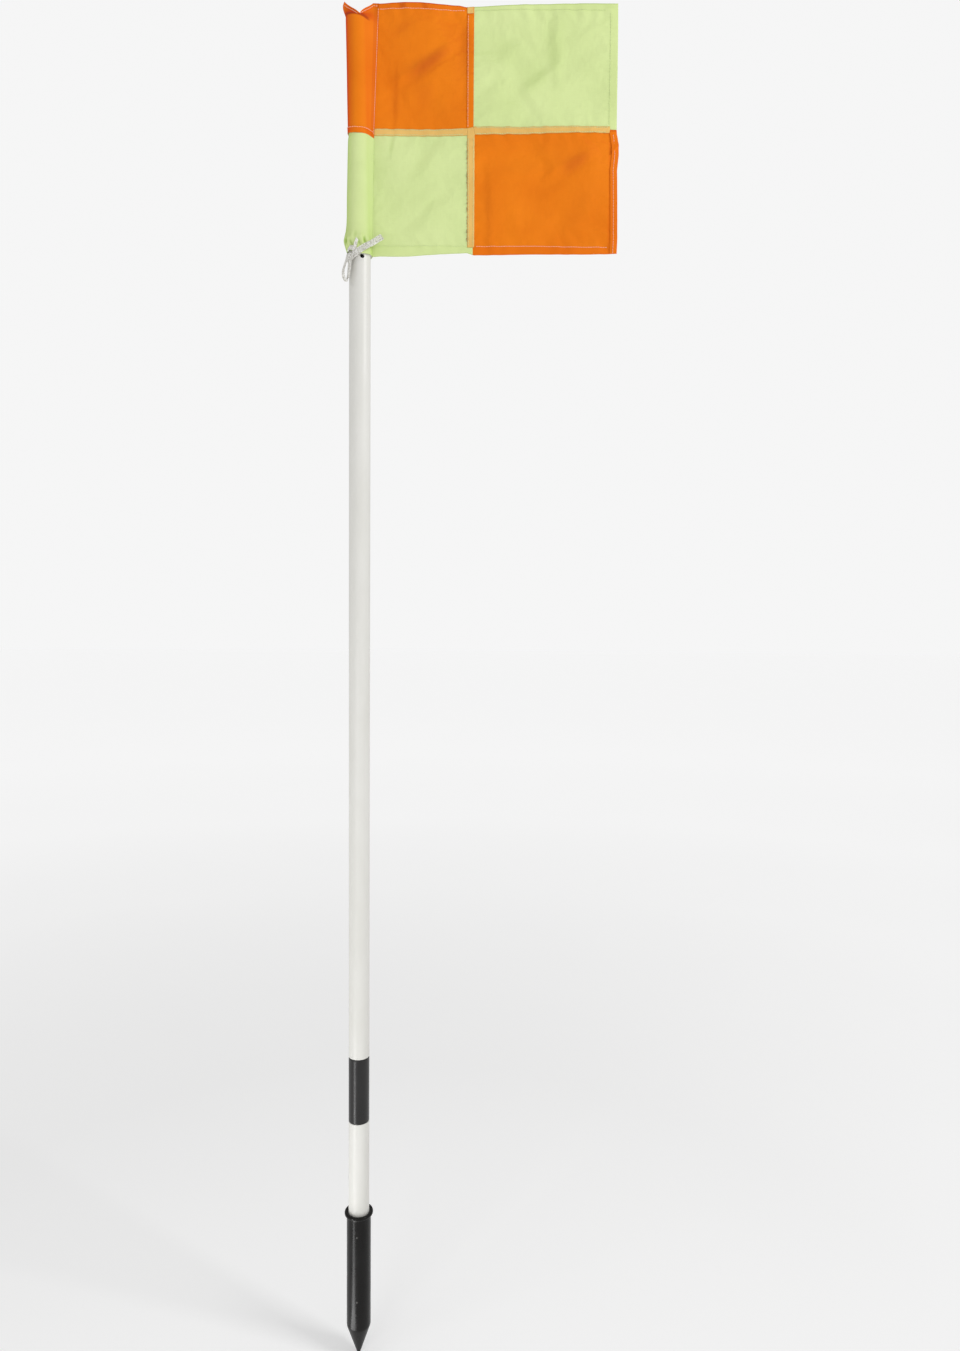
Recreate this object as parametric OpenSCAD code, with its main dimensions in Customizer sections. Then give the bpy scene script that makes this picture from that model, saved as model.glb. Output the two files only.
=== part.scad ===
// Corner flag post: a plastic tube on a ground spike, with a sprung rubber joint near its foot
// and a quartered flag sleeved over its top and tied under the sleeve with a flat tape.
// The origin is on the tube's axis at ground level, where the spike's collar rests on the turf.
// +Z is up and +X points from the tube to the flag's fly edge.

/* [Tube] */
// Outer diameter of the tube
tube_d = 26.7; // [25:0.1:28]
// Wall thickness of the tube
tube_wall = 2; // [1.6:0.1:2.4]
// Height of the tube's top edge above the ground
post_h = 1500; // [1480:5:1505]
// Diameter of the tie hole through both walls of the tube
tie_hole_d = 5.2; // [3:0.1:6]

/* [Ground spike] */
// Outer diameter of the spike
spike_d = 31.2; // [31:0.1:34]
// Length of the straight part below the collar
spike_straight_l = 148; // [140:1:180]
// Length of the conical tip
spike_tip_l = 40; // [30:1:60]
// How far the collar stands out from the spike
collar_lip = 2.8; // [2.5:0.1:6]
// Height of the collar
collar_h = 4; // [3.6:0.1:8]
// How deep the lower tube sits in the spike
socket_depth = 125; // [120:1:130]

/* [Rubber joint] */
// Height of the joint's lower end above the ground
joint_low = 124; // [100:1:140]
// Visible length of the rubber sleeve
joint_l = 85; // [75:1:95]
// Wire diameter of the return spring
spring_wire_d = 2.2; // [1.8:0.1:2.2]
// Number of turns of the return spring
spring_turns = 16; // [10:1:18]
// Length of each joint plug inside its tube
plug_l = 38; // [20:1:60]

/* [Flag] */
// Distance from the tube's axis to the fly edge
flag_reach = 318; // [300:1:360]
// Height of the flag
flag_h = 302; // [290:1:306]
// Height of the flag's lower edge above the ground
flag_low = 1226; // [1224:1:1228]
// Thickness of one layer of cloth with its coating
cloth_t = 1; // [0.8:0.1:1.2]
// Width of the hems and of the lapped seams
hem_w = 8.5; // [7:0.5:10]
// Radius of the sleeve that holds the tube
sleeve_r = 16.2; // [15.8:0.1:16.5]

/* [Hidden] */
$fn = 64;

orange = [0.90, 0.43, 0.07];
lime = [0.81, 0.88, 0.58];
tan_overlap = [0.86, 0.70, 0.41];
tape_grey = [0.82, 0.82, 0.80];
thread_pale = [0.94, 0.76, 0.62];
tube_white = [0.89, 0.89, 0.87];
moulded_black = [0.13, 0.13, 0.14];

tube_r = tube_d / 2;
bore_r = tube_r - tube_wall;
push_gap = 0.05;
cut = 1;

spike_r = spike_d / 2;
socket_r = tube_r + push_gap;
collar_r = spike_r + collar_lip;
collar_crown_r = 2.2;
collar_edge_r = 0.7;
tip_r = 1.6;
pin_r = 1.6;
pin_recess = 0.3;
pin_heights = [-23, -109];

joint_high = joint_low + joint_l;
plug_r = bore_r - push_gap;
plug_chamfer = 1.2;
nose_r = 5.6;
nose_l = 10;
nose_chamfer = 1;
plug_hole_r = 2.5;
spring_mean_r = 7.4;
spring_sides = 8;
spring_steps = 16;
rubber_r = tube_r - 0.05;
rubber_bore_r = spring_mean_r + spring_wire_d / 2 + 0.6;

cap_plug_l = 16;
cap_h = 4;
cap_dome = 2.5;
tie_hole_z = 1219.5;
tie_hole_turn = 20;

half_t = cloth_t / 2;
lap_t = 0.6;
thread_w = 0.5;
thread_t = 0.3;
bead_r = 0.9;
swing_x = 19.5;
fold_x = 141.5;
hinge_gap = 1.6;
inner_x = swing_x + hinge_gap;
outer_x = fold_x + hinge_gap;
cross_z = 1375;
flag_high = flag_low + flag_h;
lap_low = cross_z - hem_w / 2;
lap_high = cross_z + hem_w / 2;
lap_right = fold_x - bead_r;
lap_left = lap_right - hem_w;
sleeve_low = 1235;
sleeve_split = 1367;
ear_high = 1532;
notch_low = 1510.5;
seam_peak = 1529;
tip_t = 0.6;

tape_w = 7.6;
tape_t = 1.15;
wrap_z = 1224.4;
tape_bead_d = 3.2;
loop_route = [
    [-11.2, -14.2, 1221], [-14, -14.3, 1215], [-17.6, -14, 1206], [-19.2, -13.6, 1198],
    [-17.6, -14, 1191.5], [-14.2, -15, 1189.8], [-10.8, -16, 1193], [-9.4, -17, 1201],
    [-8.8, -17.5, 1210], [-7.4, -18, 1220.6]
];
long_tail_route = [
    [0, -18.8, 1228.8], [4, -18.3, 1230.5], [10, -16, 1233], [16, -12, 1235.6],
    [23, -8, 1238.6], [30, -6, 1241.2]
];
short_tail_route = [[-4.6, -18, 1231.6], [-3, -19, 1234], [-1.4, -19.6, 1236.4]];

// Unit vector along v
function unit(v) = v / norm(v);

// Direction of a route at point i, from its neighbours
function heading(route, i) =
    unit(route[min(i + 1, len(route) - 1)] - route[max(i - 1, 0)]);

// One ring of points round a route's point, across its heading
function ring(centre, along, side, r, sides) =
    let(u = unit(cross(along, side)), v = cross(along, u))
    [for (k = [0:sides - 1]) centre + r * (cos(360 * k / sides) * u + sin(360 * k / sides) * v)];

// Closed tube swept along a route; side is any direction that the route never follows
module swept_tube(route, r, sides, side) {
    last = len(route) - 1;
    points = [for (i = [0:last]) each ring(route[i], heading(route, i), side, r, sides)];
    walls = [
        for (i = [0:last - 1], k = [0:sides - 1])
            let(next = (k + 1) % sides)
            [i * sides + k, i * sides + next, (i + 1) * sides + next, (i + 1) * sides + k]
    ];
    start_cap = [for (k = [0:sides - 1]) sides - 1 - k];
    end_cap = [for (k = [0:sides - 1]) last * sides + k];
    polyhedron(points, concat(walls, [start_cap, end_cap]));
}

// Hollow cylinder between two heights
module pipe(r_out, r_in, z_low, z_high) {
    translate([0, 0, z_low])
        difference() {
            cylinder(r = r_out, h = z_high - z_low);
            translate([0, 0, -cut])
                cylinder(r = r_in, h = z_high - z_low + 2 * cut);
        }
}

// Straight rod along Y at height z
module cross_rod(r, length, z) {
    translate([0, length / 2, z])
        rotate([90, 0, 0])
            cylinder(r = r, h = length);
}

// Outline of the collar from the axis to its rounded rim
module collar_profile() {
    square([collar_r - collar_crown_r, collar_h]);
    square([collar_r - collar_edge_r, collar_h - collar_crown_r]);
    translate([0, collar_edge_r])
        square([collar_r, collar_h - collar_crown_r - collar_edge_r]);
    translate([collar_r - collar_crown_r, collar_h - collar_crown_r])
        circle(r = collar_crown_r);
    translate([collar_r - collar_edge_r, collar_edge_r])
        circle(r = collar_edge_r);
}

// Black moulded spike: straight socket, cone tip and the collar that rests on the ground
module ground_spike() {
    tip_z = -spike_straight_l - spike_tip_l + tip_r;
    color(moulded_black)
        difference() {
            union() {
                rotate_extrude()
                    collar_profile();
                translate([0, 0, -spike_straight_l])
                    cylinder(r = spike_r, h = spike_straight_l);
                translate([0, 0, tip_z])
                    cylinder(r1 = tip_r, r2 = spike_r, h = -spike_straight_l - tip_z);
                translate([0, 0, tip_z])
                    sphere(r = tip_r);
            }
            translate([0, 0, -socket_depth])
                cylinder(r = socket_r, h = socket_depth + collar_h + cut);
            for (z = pin_heights)
                cross_rod(pin_r + push_gap, spike_d + 2 * cut, z);
        }
}

// Two rivets that hold the lower tube in the spike
module spike_pins() {
    color(moulded_black)
        for (z = pin_heights)
            cross_rod(pin_r, spike_d - 2 * pin_recess, z);
}

// Short tube between the spike and the rubber joint
module lower_tube() {
    color(tube_white)
        difference() {
            pipe(tube_r, bore_r, -socket_depth, joint_low);
            for (z = pin_heights)
                cross_rod(pin_r + push_gap, tube_d + 2 * cut, z);
        }
}

// Joint plug with its shoulder at z = 0, its body below and its spring nose above
module joint_plug() {
    color("gainsboro")
        difference() {
            union() {
                translate([0, 0, plug_chamfer - plug_l])
                    cylinder(r = plug_r, h = plug_l - plug_chamfer);
                translate([0, 0, -plug_l])
                    cylinder(r1 = plug_r - plug_chamfer, r2 = plug_r, h = plug_chamfer);
                cylinder(r = nose_r, h = nose_l - nose_chamfer);
                translate([0, 0, nose_l - nose_chamfer])
                    cylinder(r1 = nose_r, r2 = nose_r - nose_chamfer, h = nose_chamfer);
            }
            translate([0, 0, -plug_l - cut])
                cylinder(r = plug_hole_r, h = plug_l + nose_l + 2 * cut);
        }
}

module lower_plug() {
    translate([0, 0, joint_low])
        joint_plug();
}

module upper_plug() {
    translate([0, 0, joint_high])
        mirror([0, 0, 1])
            joint_plug();
}

// Coil spring that stands between the shoulders of the two plugs
module return_spring() {
    z_first = joint_low + spring_wire_d;
    z_last = joint_high - spring_wire_d;
    steps = spring_turns * spring_steps;
    route = [
        for (i = [0:steps])
            let(turn = 360 * i / spring_steps)
            [spring_mean_r * cos(turn), spring_mean_r * sin(turn), z_first + (z_last - z_first) * i / steps]
    ];
    color("silver")
        swept_tube(route, spring_wire_d / 2, spring_sides, [0, 0, 1]);
}

// Rubber sleeve over the spring, flush with the tubes above and below it
module rubber_sleeve() {
    color(moulded_black)
        pipe(rubber_r, rubber_bore_r, joint_low, joint_high);
}

// Long tube that carries the flag, drilled through both walls for the tie
module upper_tube() {
    color(tube_white)
        difference() {
            pipe(tube_r, bore_r, joint_high, post_h);
            rotate([0, 0, tie_hole_turn])
                cross_rod(tie_hole_d / 2, tube_d + 2 * cut, tie_hole_z);
        }
}

// Blunt domed cap pushed into the tube's top
module top_cap() {
    dome_r = (tube_r * tube_r + cap_dome * cap_dome) / (2 * cap_dome);
    color(tube_white) {
        translate([0, 0, post_h - cap_plug_l])
            cylinder(r = plug_r, h = cap_plug_l);
        translate([0, 0, post_h])
            intersection() {
                cylinder(r = tube_r, h = cap_h);
                translate([0, 0, cap_h - dome_r])
                    sphere(r = dome_r);
            }
    }
}

// Teardrop: a circle of radius r on the axis drawn out to a rounded end of radius end_r at x = end_x
module teardrop(r, end_r, end_x) {
    turn = acos((r - end_r) / end_x);
    round_steps = 40;
    end_steps = 4;
    body = [
        for (i = [0:round_steps])
            let(a = turn + (360 - 2 * turn) * i / round_steps)
            [r * cos(a), r * sin(a)]
    ];
    end = [
        for (i = [0:end_steps])
            let(a = -turn + 2 * turn * i / end_steps)
            [end_x + end_r * cos(a), end_r * sin(a)]
    ];
    polygon(concat(body, end));
}

// Wall of the cloth sleeve between two heights, ending in the flat lip that meets the hoist seam
module sleeve_wall(z_low, z_high) {
    inner_end_x = sleeve_r - cloth_t + 1.2;
    translate([0, 0, z_low])
        linear_extrude(z_high - z_low)
            difference() {
                union() {
                    teardrop(sleeve_r, tip_t, swing_x - 2);
                    translate([swing_x - 3, -tip_t])
                        square([3, 2 * tip_t]);
                }
                teardrop(sleeve_r - cloth_t, tip_t / 2, inner_end_x);
                translate([swing_x, 0])
                    circle(r = bead_r);
            }
}

// Front view of the sleeve's upper part, with the notch in its top between the two raised ends
module sleeve_front_view() {
    reach = sleeve_r + 4;
    polygon([
        [-reach, sleeve_split], [reach, sleeve_split], [reach, flag_high], [sleeve_r, seam_peak],
        [0.5, notch_low], [-sleeve_r, ear_high], [-reach, ear_high]
    ]);
}

module sleeve_upper() {
    color(orange)
        intersection() {
            sleeve_wall(sleeve_split, ear_high);
            translate([0, sleeve_r + cut, 0])
                rotate([90, 0, 0])
                    linear_extrude(2 * sleeve_r + 2 * cut)
                        sleeve_front_view();
        }
}

module sleeve_lower() {
    color(lime)
        sleeve_wall(sleeve_low, sleeve_split);
}

// Rolled seam that stands along a line where the flag turns
module seam_bead(x, z_low, z_high) {
    translate([x, 0, z_low])
        cylinder(r = bead_r, h = z_high - z_low);
}

module sleeve_seam() {
    color(orange)
        seam_bead(swing_x, sleeve_low, flag_high);
}

// Row of stitches up the sleeve's lip, front and back, and one round the hem of the upper sleeve
module sleeve_stitching() {
    row_x = swing_x - 1.6;
    hem_z = sleeve_split + 5;
    hem_turn = 60;
    color(thread_pale) {
        for (side = [-1, 1])
            translate([row_x, side * (tip_t + thread_t / 2) - thread_t / 2, sleeve_low])
                cube([thread_w, thread_t, flag_high - sleeve_low]);
        translate([0, 0, hem_z])
            rotate([0, 0, hem_turn])
                rotate_extrude(angle = 360 - 2 * hem_turn)
                    translate([sleeve_r, 0])
                        square([thread_t, thread_w]);
    }
}

// Tie tape where it goes round the tube
module tie_wrap() {
    color(tape_grey)
        pipe(tube_r + push_gap + tape_t, tube_r + push_gap, wrap_z, wrap_z + tape_w);
}

// Half bow's knot, in front of the tube on the hoist side
module tie_knot() {
    knot_r = 3;
    color(tape_grey)
        hull() {
            translate([-8.4, -15.9, 1225.6])
                sphere(r = knot_r, $fn = 32);
            translate([-4.4, -17.3, 1226.6])
                sphere(r = knot_r, $fn = 32);
        }
}

module tie_loop() {
    color(tape_grey)
        swept_tube(loop_route, tape_bead_d / 2, 8, [0, 1, 0]);
}

module tie_tail_long() {
    color(tape_grey)
        swept_tube(long_tail_route, tape_bead_d / 2, 8, [0, 0, 1]);
}

module tie_tail_short() {
    color(tape_grey)
        swept_tube(short_tail_route, tape_bead_d / 2, 8, [0, 1, 0]);
}

// Upright sheet of cloth; layer 0 is the flag's own, -1 lies on its front and 1 on its back
module sheet(x_low, x_high, z_low, z_high, layer = 0) {
    thick = layer == 0 ? cloth_t : lap_t;
    y_low = layer == 0 ? -half_t : layer < 0 ? -half_t - lap_t : half_t;
    translate([x_low, y_low, z_low])
        cube([x_high - x_low, thick, z_high - z_low]);
}

// Sheet of the hoist half, which ends against the centre seam's roll
module hoist_sheet(z_low, z_high) {
    difference() {
        sheet(inner_x, fold_x, z_low, z_high);
        translate([fold_x, 0, z_low - cut])
            cylinder(r = bead_r, h = z_high - z_low + 2 * cut);
    }
}

// Row of stitches on the front, level from x_low to x_high; lift is the thickness under it
module level_row(x_low, x_high, z, lift) {
    translate([x_low, -half_t - lift - thread_t, z])
        cube([x_high - x_low, thread_t, thread_w]);
}

// Row of stitches on the front, upright from z_low to z_high; lift is the thickness under it
module upright_row(x, z_low, z_high, lift) {
    translate([x, -half_t - lift - thread_t, z_low])
        cube([thread_w, thread_t, z_high - z_low]);
}

module panel_inner_upper() {
    color(orange)
        hoist_sheet(cross_z, flag_high);
}

module panel_inner_lower() {
    color(lime)
        hoist_sheet(flag_low, cross_z);
}

module centre_seam() {
    color(orange)
        seam_bead(fold_x, flag_low, flag_high);
}

module lap_cross_inner() {
    color(tan_overlap)
        sheet(inner_x + 0.4, lap_left, lap_low, lap_high, -1);
}

module lap_centre_upper() {
    color(orange)
        sheet(lap_left, lap_right, lap_high, flag_high - hem_w, -1);
}

module lap_centre_lower() {
    color(tan_overlap)
        sheet(lap_left, lap_right, flag_low + hem_w, lap_high, -1);
}

module hem_top_inner() {
    color(orange)
        sheet(inner_x + 0.4, lap_right, flag_high - hem_w, flag_high, 1);
}

module hem_bottom_inner() {
    color(lime)
        sheet(inner_x + 0.4, lap_right, flag_low, flag_low + hem_w, 1);
}

// Rows along the hoist half's hems and up both edges of the centre lap
module stitching_inner() {
    color(thread_pale) {
        level_row(inner_x + 0.4, lap_left, flag_high - hem_w + 1, 0);
        level_row(inner_x + 0.4, lap_left, flag_low + hem_w - 1, 0);
        for (x = [lap_left + 1, lap_right - 1.5])
            upright_row(x, lap_high, flag_high - hem_w, lap_t);
    }
}

module panel_outer_upper() {
    color(lime)
        sheet(outer_x, flag_reach, cross_z, flag_high);
}

module panel_outer_lower() {
    color(orange)
        sheet(outer_x, flag_reach, flag_low, cross_z);
}

module lap_cross_outer() {
    color(tan_overlap)
        sheet(outer_x + 0.4, flag_reach - hem_w, lap_low, lap_high, -1);
}

module hem_top_outer() {
    color(lime)
        sheet(outer_x + 0.4, flag_reach - hem_w, flag_high - hem_w, flag_high, 1);
}

module hem_bottom_outer() {
    color(orange)
        sheet(outer_x + 0.4, flag_reach - hem_w, flag_low, flag_low + hem_w, 1);
}

module hem_fly_upper() {
    color(lime)
        sheet(flag_reach - hem_w, flag_reach, cross_z, flag_high, 1);
}

module hem_fly_lower() {
    color(orange)
        sheet(flag_reach - hem_w, flag_reach, flag_low, cross_z, 1);
}

// Rows along the fly half's top, bottom and fly hems
module stitching_outer() {
    row_end = flag_reach - hem_w + 1;
    color(thread_pale) {
        level_row(outer_x + 0.4, row_end, flag_high - hem_w + 1, 0);
        level_row(outer_x + 0.4, row_end, flag_low + hem_w - 1, 0);
        upright_row(row_end, flag_low + hem_w - 1, flag_high - hem_w + 1.5, 0);
    }
}

ground_spike();
spike_pins();
lower_tube();
lower_plug();
return_spring();
rubber_sleeve();
upper_plug();
upper_tube();
top_cap();
sleeve_upper();
sleeve_lower();
sleeve_seam();
sleeve_stitching();
tie_wrap();
tie_knot();
tie_loop();
tie_tail_long();
tie_tail_short();
panel_inner_upper();
panel_inner_lower();
centre_seam();
lap_cross_inner();
lap_centre_upper();
lap_centre_lower();
hem_top_inner();
hem_bottom_inner();
stitching_inner();
panel_outer_upper();
panel_outer_lower();
lap_cross_outer();
hem_top_outer();
hem_bottom_outer();
hem_fly_upper();
hem_fly_lower();
stitching_outer();
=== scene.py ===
"""Corner flag post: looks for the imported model, in its own frame.

Shapes are worked out in millimetres and turned into metres as each mesh is made.
-Y is the flag's front, +X points to its fly edge and +Z is up.
"""
import math

import bpy
import numpy as np
from mathutils import Matrix, Vector


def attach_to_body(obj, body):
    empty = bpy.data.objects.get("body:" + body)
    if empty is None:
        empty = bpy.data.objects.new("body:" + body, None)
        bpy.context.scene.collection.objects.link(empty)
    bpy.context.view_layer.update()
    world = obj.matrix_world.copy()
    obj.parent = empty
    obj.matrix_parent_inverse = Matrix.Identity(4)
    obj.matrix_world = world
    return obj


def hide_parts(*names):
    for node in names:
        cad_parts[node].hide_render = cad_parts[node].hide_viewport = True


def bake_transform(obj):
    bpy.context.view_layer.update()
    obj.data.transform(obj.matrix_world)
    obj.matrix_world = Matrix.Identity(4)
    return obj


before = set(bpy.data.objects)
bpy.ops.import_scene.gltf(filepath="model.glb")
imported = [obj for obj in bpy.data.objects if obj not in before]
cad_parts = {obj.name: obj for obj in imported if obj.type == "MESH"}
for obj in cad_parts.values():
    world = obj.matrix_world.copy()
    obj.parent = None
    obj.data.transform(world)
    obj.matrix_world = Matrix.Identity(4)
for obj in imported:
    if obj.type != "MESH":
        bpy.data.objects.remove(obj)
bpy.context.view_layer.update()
scene = bpy.context.scene
random = np.random.default_rng(7)

MM = 0.001

# ---------------------------------------------------------------- camera

CAMERA_AT = Vector((0.1531, -1.1430, 0.7516))
CAMERA_PITCH = math.radians(-2.47)
CAMERA_ROLL = math.radians(0.394)
CAMERA_LENS = 24


def make_camera():
    """The camera, from where the photograph was taken."""
    look = Vector((0, math.cos(CAMERA_PITCH), math.sin(CAMERA_PITCH)))
    up = Vector((0, -math.sin(CAMERA_PITCH), math.cos(CAMERA_PITCH)))
    right = Vector((1, 0, 0))
    across = right * math.cos(CAMERA_ROLL) + up * math.sin(CAMERA_ROLL)
    above = up * math.cos(CAMERA_ROLL) - right * math.sin(CAMERA_ROLL)
    data = bpy.data.cameras.new("camera")
    data.sensor_width = 36
    data.lens = CAMERA_LENS
    camera = bpy.data.objects.new("camera", data)
    scene.collection.objects.link(camera)
    turn = Matrix((across, above, -look)).transposed().to_4x4()
    camera.matrix_world = Matrix.Translation(CAMERA_AT) @ turn
    scene.camera = camera


make_camera()

# ---------------------------------------------------------------- small tools


def smooth(t):
    """Smooth step from 0 to 1."""
    t = np.clip(t, 0.0, 1.0)
    return t * t * (3 - 2 * t)


def curve(*pairs):
    """A function of one number: straight lines through (at, value) pairs."""
    at, value = zip(*pairs)
    return lambda x: np.interp(x, at, value)


def fixed(value):
    """The same value everywhere, as a function."""
    return lambda other: value + 0 * np.asarray(other, float)


def unit(v):
    """The same directions with length 1."""
    return v / np.maximum(np.linalg.norm(v, axis=-1, keepdims=True), 1e-12)


def wavy(count, shortest, longest, slant=1.0):
    """A smooth field of count random waves; slant above 1 makes its waves longer upwards."""
    length = random.uniform(shortest, longest, count)
    turn = random.uniform(0, math.tau, count)
    phase = random.uniform(0, math.tau, count)
    kx = np.cos(turn) * math.tau / length
    ky = np.sin(turn) * math.tau / length / slant

    def field(x, y):
        total = 0.0
        for a, b, c in zip(kx, ky, phase):
            total = total + np.sin(a * x + b * y + c)
        return total / math.sqrt(count)

    return field


def run_length(line):
    """Distance along a line at each of its points."""
    return np.concatenate([[0], np.cumsum(np.linalg.norm(np.diff(line, axis=0), axis=1))])


def sample(values, at, places):
    """Each column of values, which belong to places, read at other places."""
    return np.stack([np.interp(at, places, values[:, k]) for k in range(3)], axis=1)


def spline(points, step):
    """A smooth line through the points, in steps of about the length given."""
    p = np.asarray(points, float)
    p = np.vstack([2 * p[0] - p[1], p, 2 * p[-1] - p[-2]])
    out = []
    for a, b, c, d in zip(p, p[1:], p[2:], p[3:]):
        n = max(2, int(np.linalg.norm(c - b) / step * 3))
        t = np.linspace(0, 1, n, endpoint=False)[:, None]
        bend = (2 * a - 5 * b + 4 * c - d) * t**2 + (3 * b - a - 3 * c + d) * t**3
        out.append(b + ((c - a) * t + bend) / 2)
    out.append(p[-2][None])
    line = np.vstack(out)
    along = run_length(line)
    return sample(line, np.linspace(0, along[-1], max(2, int(round(along[-1] / step)) + 1)), along)


class Soup:
    """Points and faces gathered from many small shapes, in millimetres."""

    def __init__(self):
        self.points = []
        self.faces = []
        self.count = 0

    def add(self, points, faces):
        points = np.asarray(points, float).reshape(-1, 3)
        self.points.append(points)
        self.faces.extend(tuple(int(i) + self.count for i in f) for f in faces)
        self.count += len(points)

    def add_grid(self, points, wrap_rows=False, wrap_cols=False, flip=False):
        rows, cols = points.shape[:2]
        self.add(points, grid_faces(rows, cols, wrap_rows, wrap_cols, flip))

    def add_tube(self, line, radius, sides, closed=False):
        """A round tube along a line, with rounded ends when it is open."""
        line = np.asarray(line, float)
        around = (np.roll(line, -1, 0) - np.roll(line, 1, 0)) if closed else np.gradient(line, axis=0)
        ahead = unit(around)
        hint = np.where(np.abs(ahead[:, 2:3]) > 0.9, [[1.0, 0, 0]], [[0, 0, 1.0]])
        side = unit(np.cross(ahead, hint))
        over = np.cross(side, ahead)
        turn = np.linspace(0, math.tau, sides, endpoint=False)
        radius = np.broadcast_to(radius, len(line))[:, None, None]
        ring = np.cos(turn)[None, :, None] * side[:, None] + np.sin(turn)[None, :, None] * over[:, None]
        grid = line[:, None] + radius * ring
        start = self.count
        self.add_grid(grid, wrap_rows=closed, wrap_cols=True, flip=True)
        if not closed:
            last = start + (len(line) - 1) * sides
            self.faces.append(tuple(start + i for i in range(sides)))
            self.faces.append(tuple(last + i for i in reversed(range(sides))))

    def bridge(self, a, b, flip=False):
        """Quads between two closed rings of point numbers."""
        for i in range(len(a)):
            j = (i + 1) % len(a)
            quad = (a[i], a[j], b[j], b[i])
            self.faces.append(quad[::-1] if flip else quad)

    def add_ring(self, points):
        """Adds loose points and returns their numbers."""
        first = self.count
        self.add(points, [])
        return list(range(first, self.count))

    def build(self, name, material):
        mesh = bpy.data.meshes.new(name)
        mesh.from_pydata((np.vstack(self.points) * MM).tolist(), [], self.faces)
        mesh.polygons.foreach_set("use_smooth", [True] * len(mesh.polygons))
        mesh.materials.append(material)
        mesh.update()
        made = bpy.data.objects.new(name, mesh)
        scene.collection.objects.link(made)
        return made


def grid_faces(rows, cols, wrap_rows=False, wrap_cols=False, flip=False):
    """Quads over a grid of points."""
    r = np.arange(rows if wrap_rows else rows - 1)
    c = np.arange(cols if wrap_cols else cols - 1)
    r, c = (g.ravel() for g in np.meshgrid(r, c, indexing="ij"))
    r2, c2 = (r + 1) % rows, (c + 1) % cols
    quads = np.stack([r * cols + c, r * cols + c2, r2 * cols + c2, r2 * cols + c], axis=1)
    return quads[:, ::-1] if flip else quads


def grid_object(name, points, material, flip=False):
    """One object from one grid of points."""
    soup = Soup()
    soup.add_grid(points, flip=flip)
    return soup.build(name, material)


def give_uv(obj, u, v):
    """Lays a UV map in metres over the mesh, from one (u, v) in millimetres for each point."""
    layer = obj.data.uv_layers.new(name="cut")
    corner = np.empty(len(obj.data.loops), int)
    obj.data.loops.foreach_get("vertex_index", corner)
    flat = np.stack([np.ravel(u), np.ravel(v)], axis=1)[corner] * MM
    layer.data.foreach_set("uv", flat.astype(np.float32).ravel())


def give_shade(obj, name, values):
    """A number for each point that the material reads."""
    layer = obj.data.attributes.new(name, "FLOAT", "POINT")
    layer.data.foreach_set("value", np.ravel(values).astype(np.float32))


def thicken(obj, thickness):
    """Gives a single layer of cloth its thickness, toward its back."""
    made = obj.modifiers.new("thickness", "SOLIDIFY")
    made.thickness = thickness * MM
    made.offset = -1.0
    made.use_even_offset = False


def attach(obj, slot, body, *nodes):
    """Puts a piece on the body it rides on and hides the CAD nodes it stands for; slot, its finish, is not
    used.
    """
    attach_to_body(obj, body)
    if nodes:
        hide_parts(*nodes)


def attach_across(obj, slot, hinge, *nodes):
    """Hides the CAD nodes a piece stands for and bakes its placement into its mesh; slot and hinge are not
    used.
    """
    if nodes:
        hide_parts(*nodes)
    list(hinge)
    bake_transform(obj)


def polar(radius, angle, height):
    """Points round the Z axis."""
    radius, angle, height = np.broadcast_arrays(radius, angle, height)
    return np.stack([radius * np.cos(angle), radius * np.sin(angle), height], axis=-1)


def around(sides):
    """Evenly spaced angles, one turn in all."""
    return np.linspace(0, math.tau, sides, endpoint=False)


LATHE_SIDES = 96


def turned_grid(line):
    """Rings of points, one for each (radius, height) of a line."""
    return polar(line[:, None, 0], around(LATHE_SIDES), line[:, None, 1])


def lathe(name, outline, material):
    """A turned shape from a closed outline of (radius, height, corner radius)."""
    soup = Soup()
    soup.add_grid(turned_grid(rounded(outline)), wrap_rows=True, wrap_cols=True)
    made = soup.build(name, material)
    made.data.set_sharp_from_angle(angle=math.radians(38))
    return made


def rounded(outline, steps=5):
    """The outline with each corner turned into a small arc of its own radius."""
    pts = [np.array(p[:2], float) for p in outline]
    out = []
    for k, (point, corner) in enumerate(zip(pts, outline)):
        before, after = pts[k - 1], pts[(k + 1) % len(pts)]
        reach = corner[2]
        if reach <= 0:
            out.append(point)
            continue
        into, away = unit(before - point), unit(after - point)
        a, b = point + into * reach, point + away * reach
        for t in np.linspace(0, 1, steps + 1):
            out.append(a * (1 - t) ** 2 + 2 * point * t * (1 - t) + b * t**2)
    return np.array(out)


# ---------------------------------------------------------------- materials


def srgb(red, green, blue):
    """Screen colour, 0 to 255, as the linear colour that shaders take."""
    made = []
    for value in (red, green, blue):
        c = value / 255
        made.append(c / 12.92 if c <= 0.04045 else ((c + 0.055) / 1.055) ** 2.4)
    return (*made, 1.0)


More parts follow.
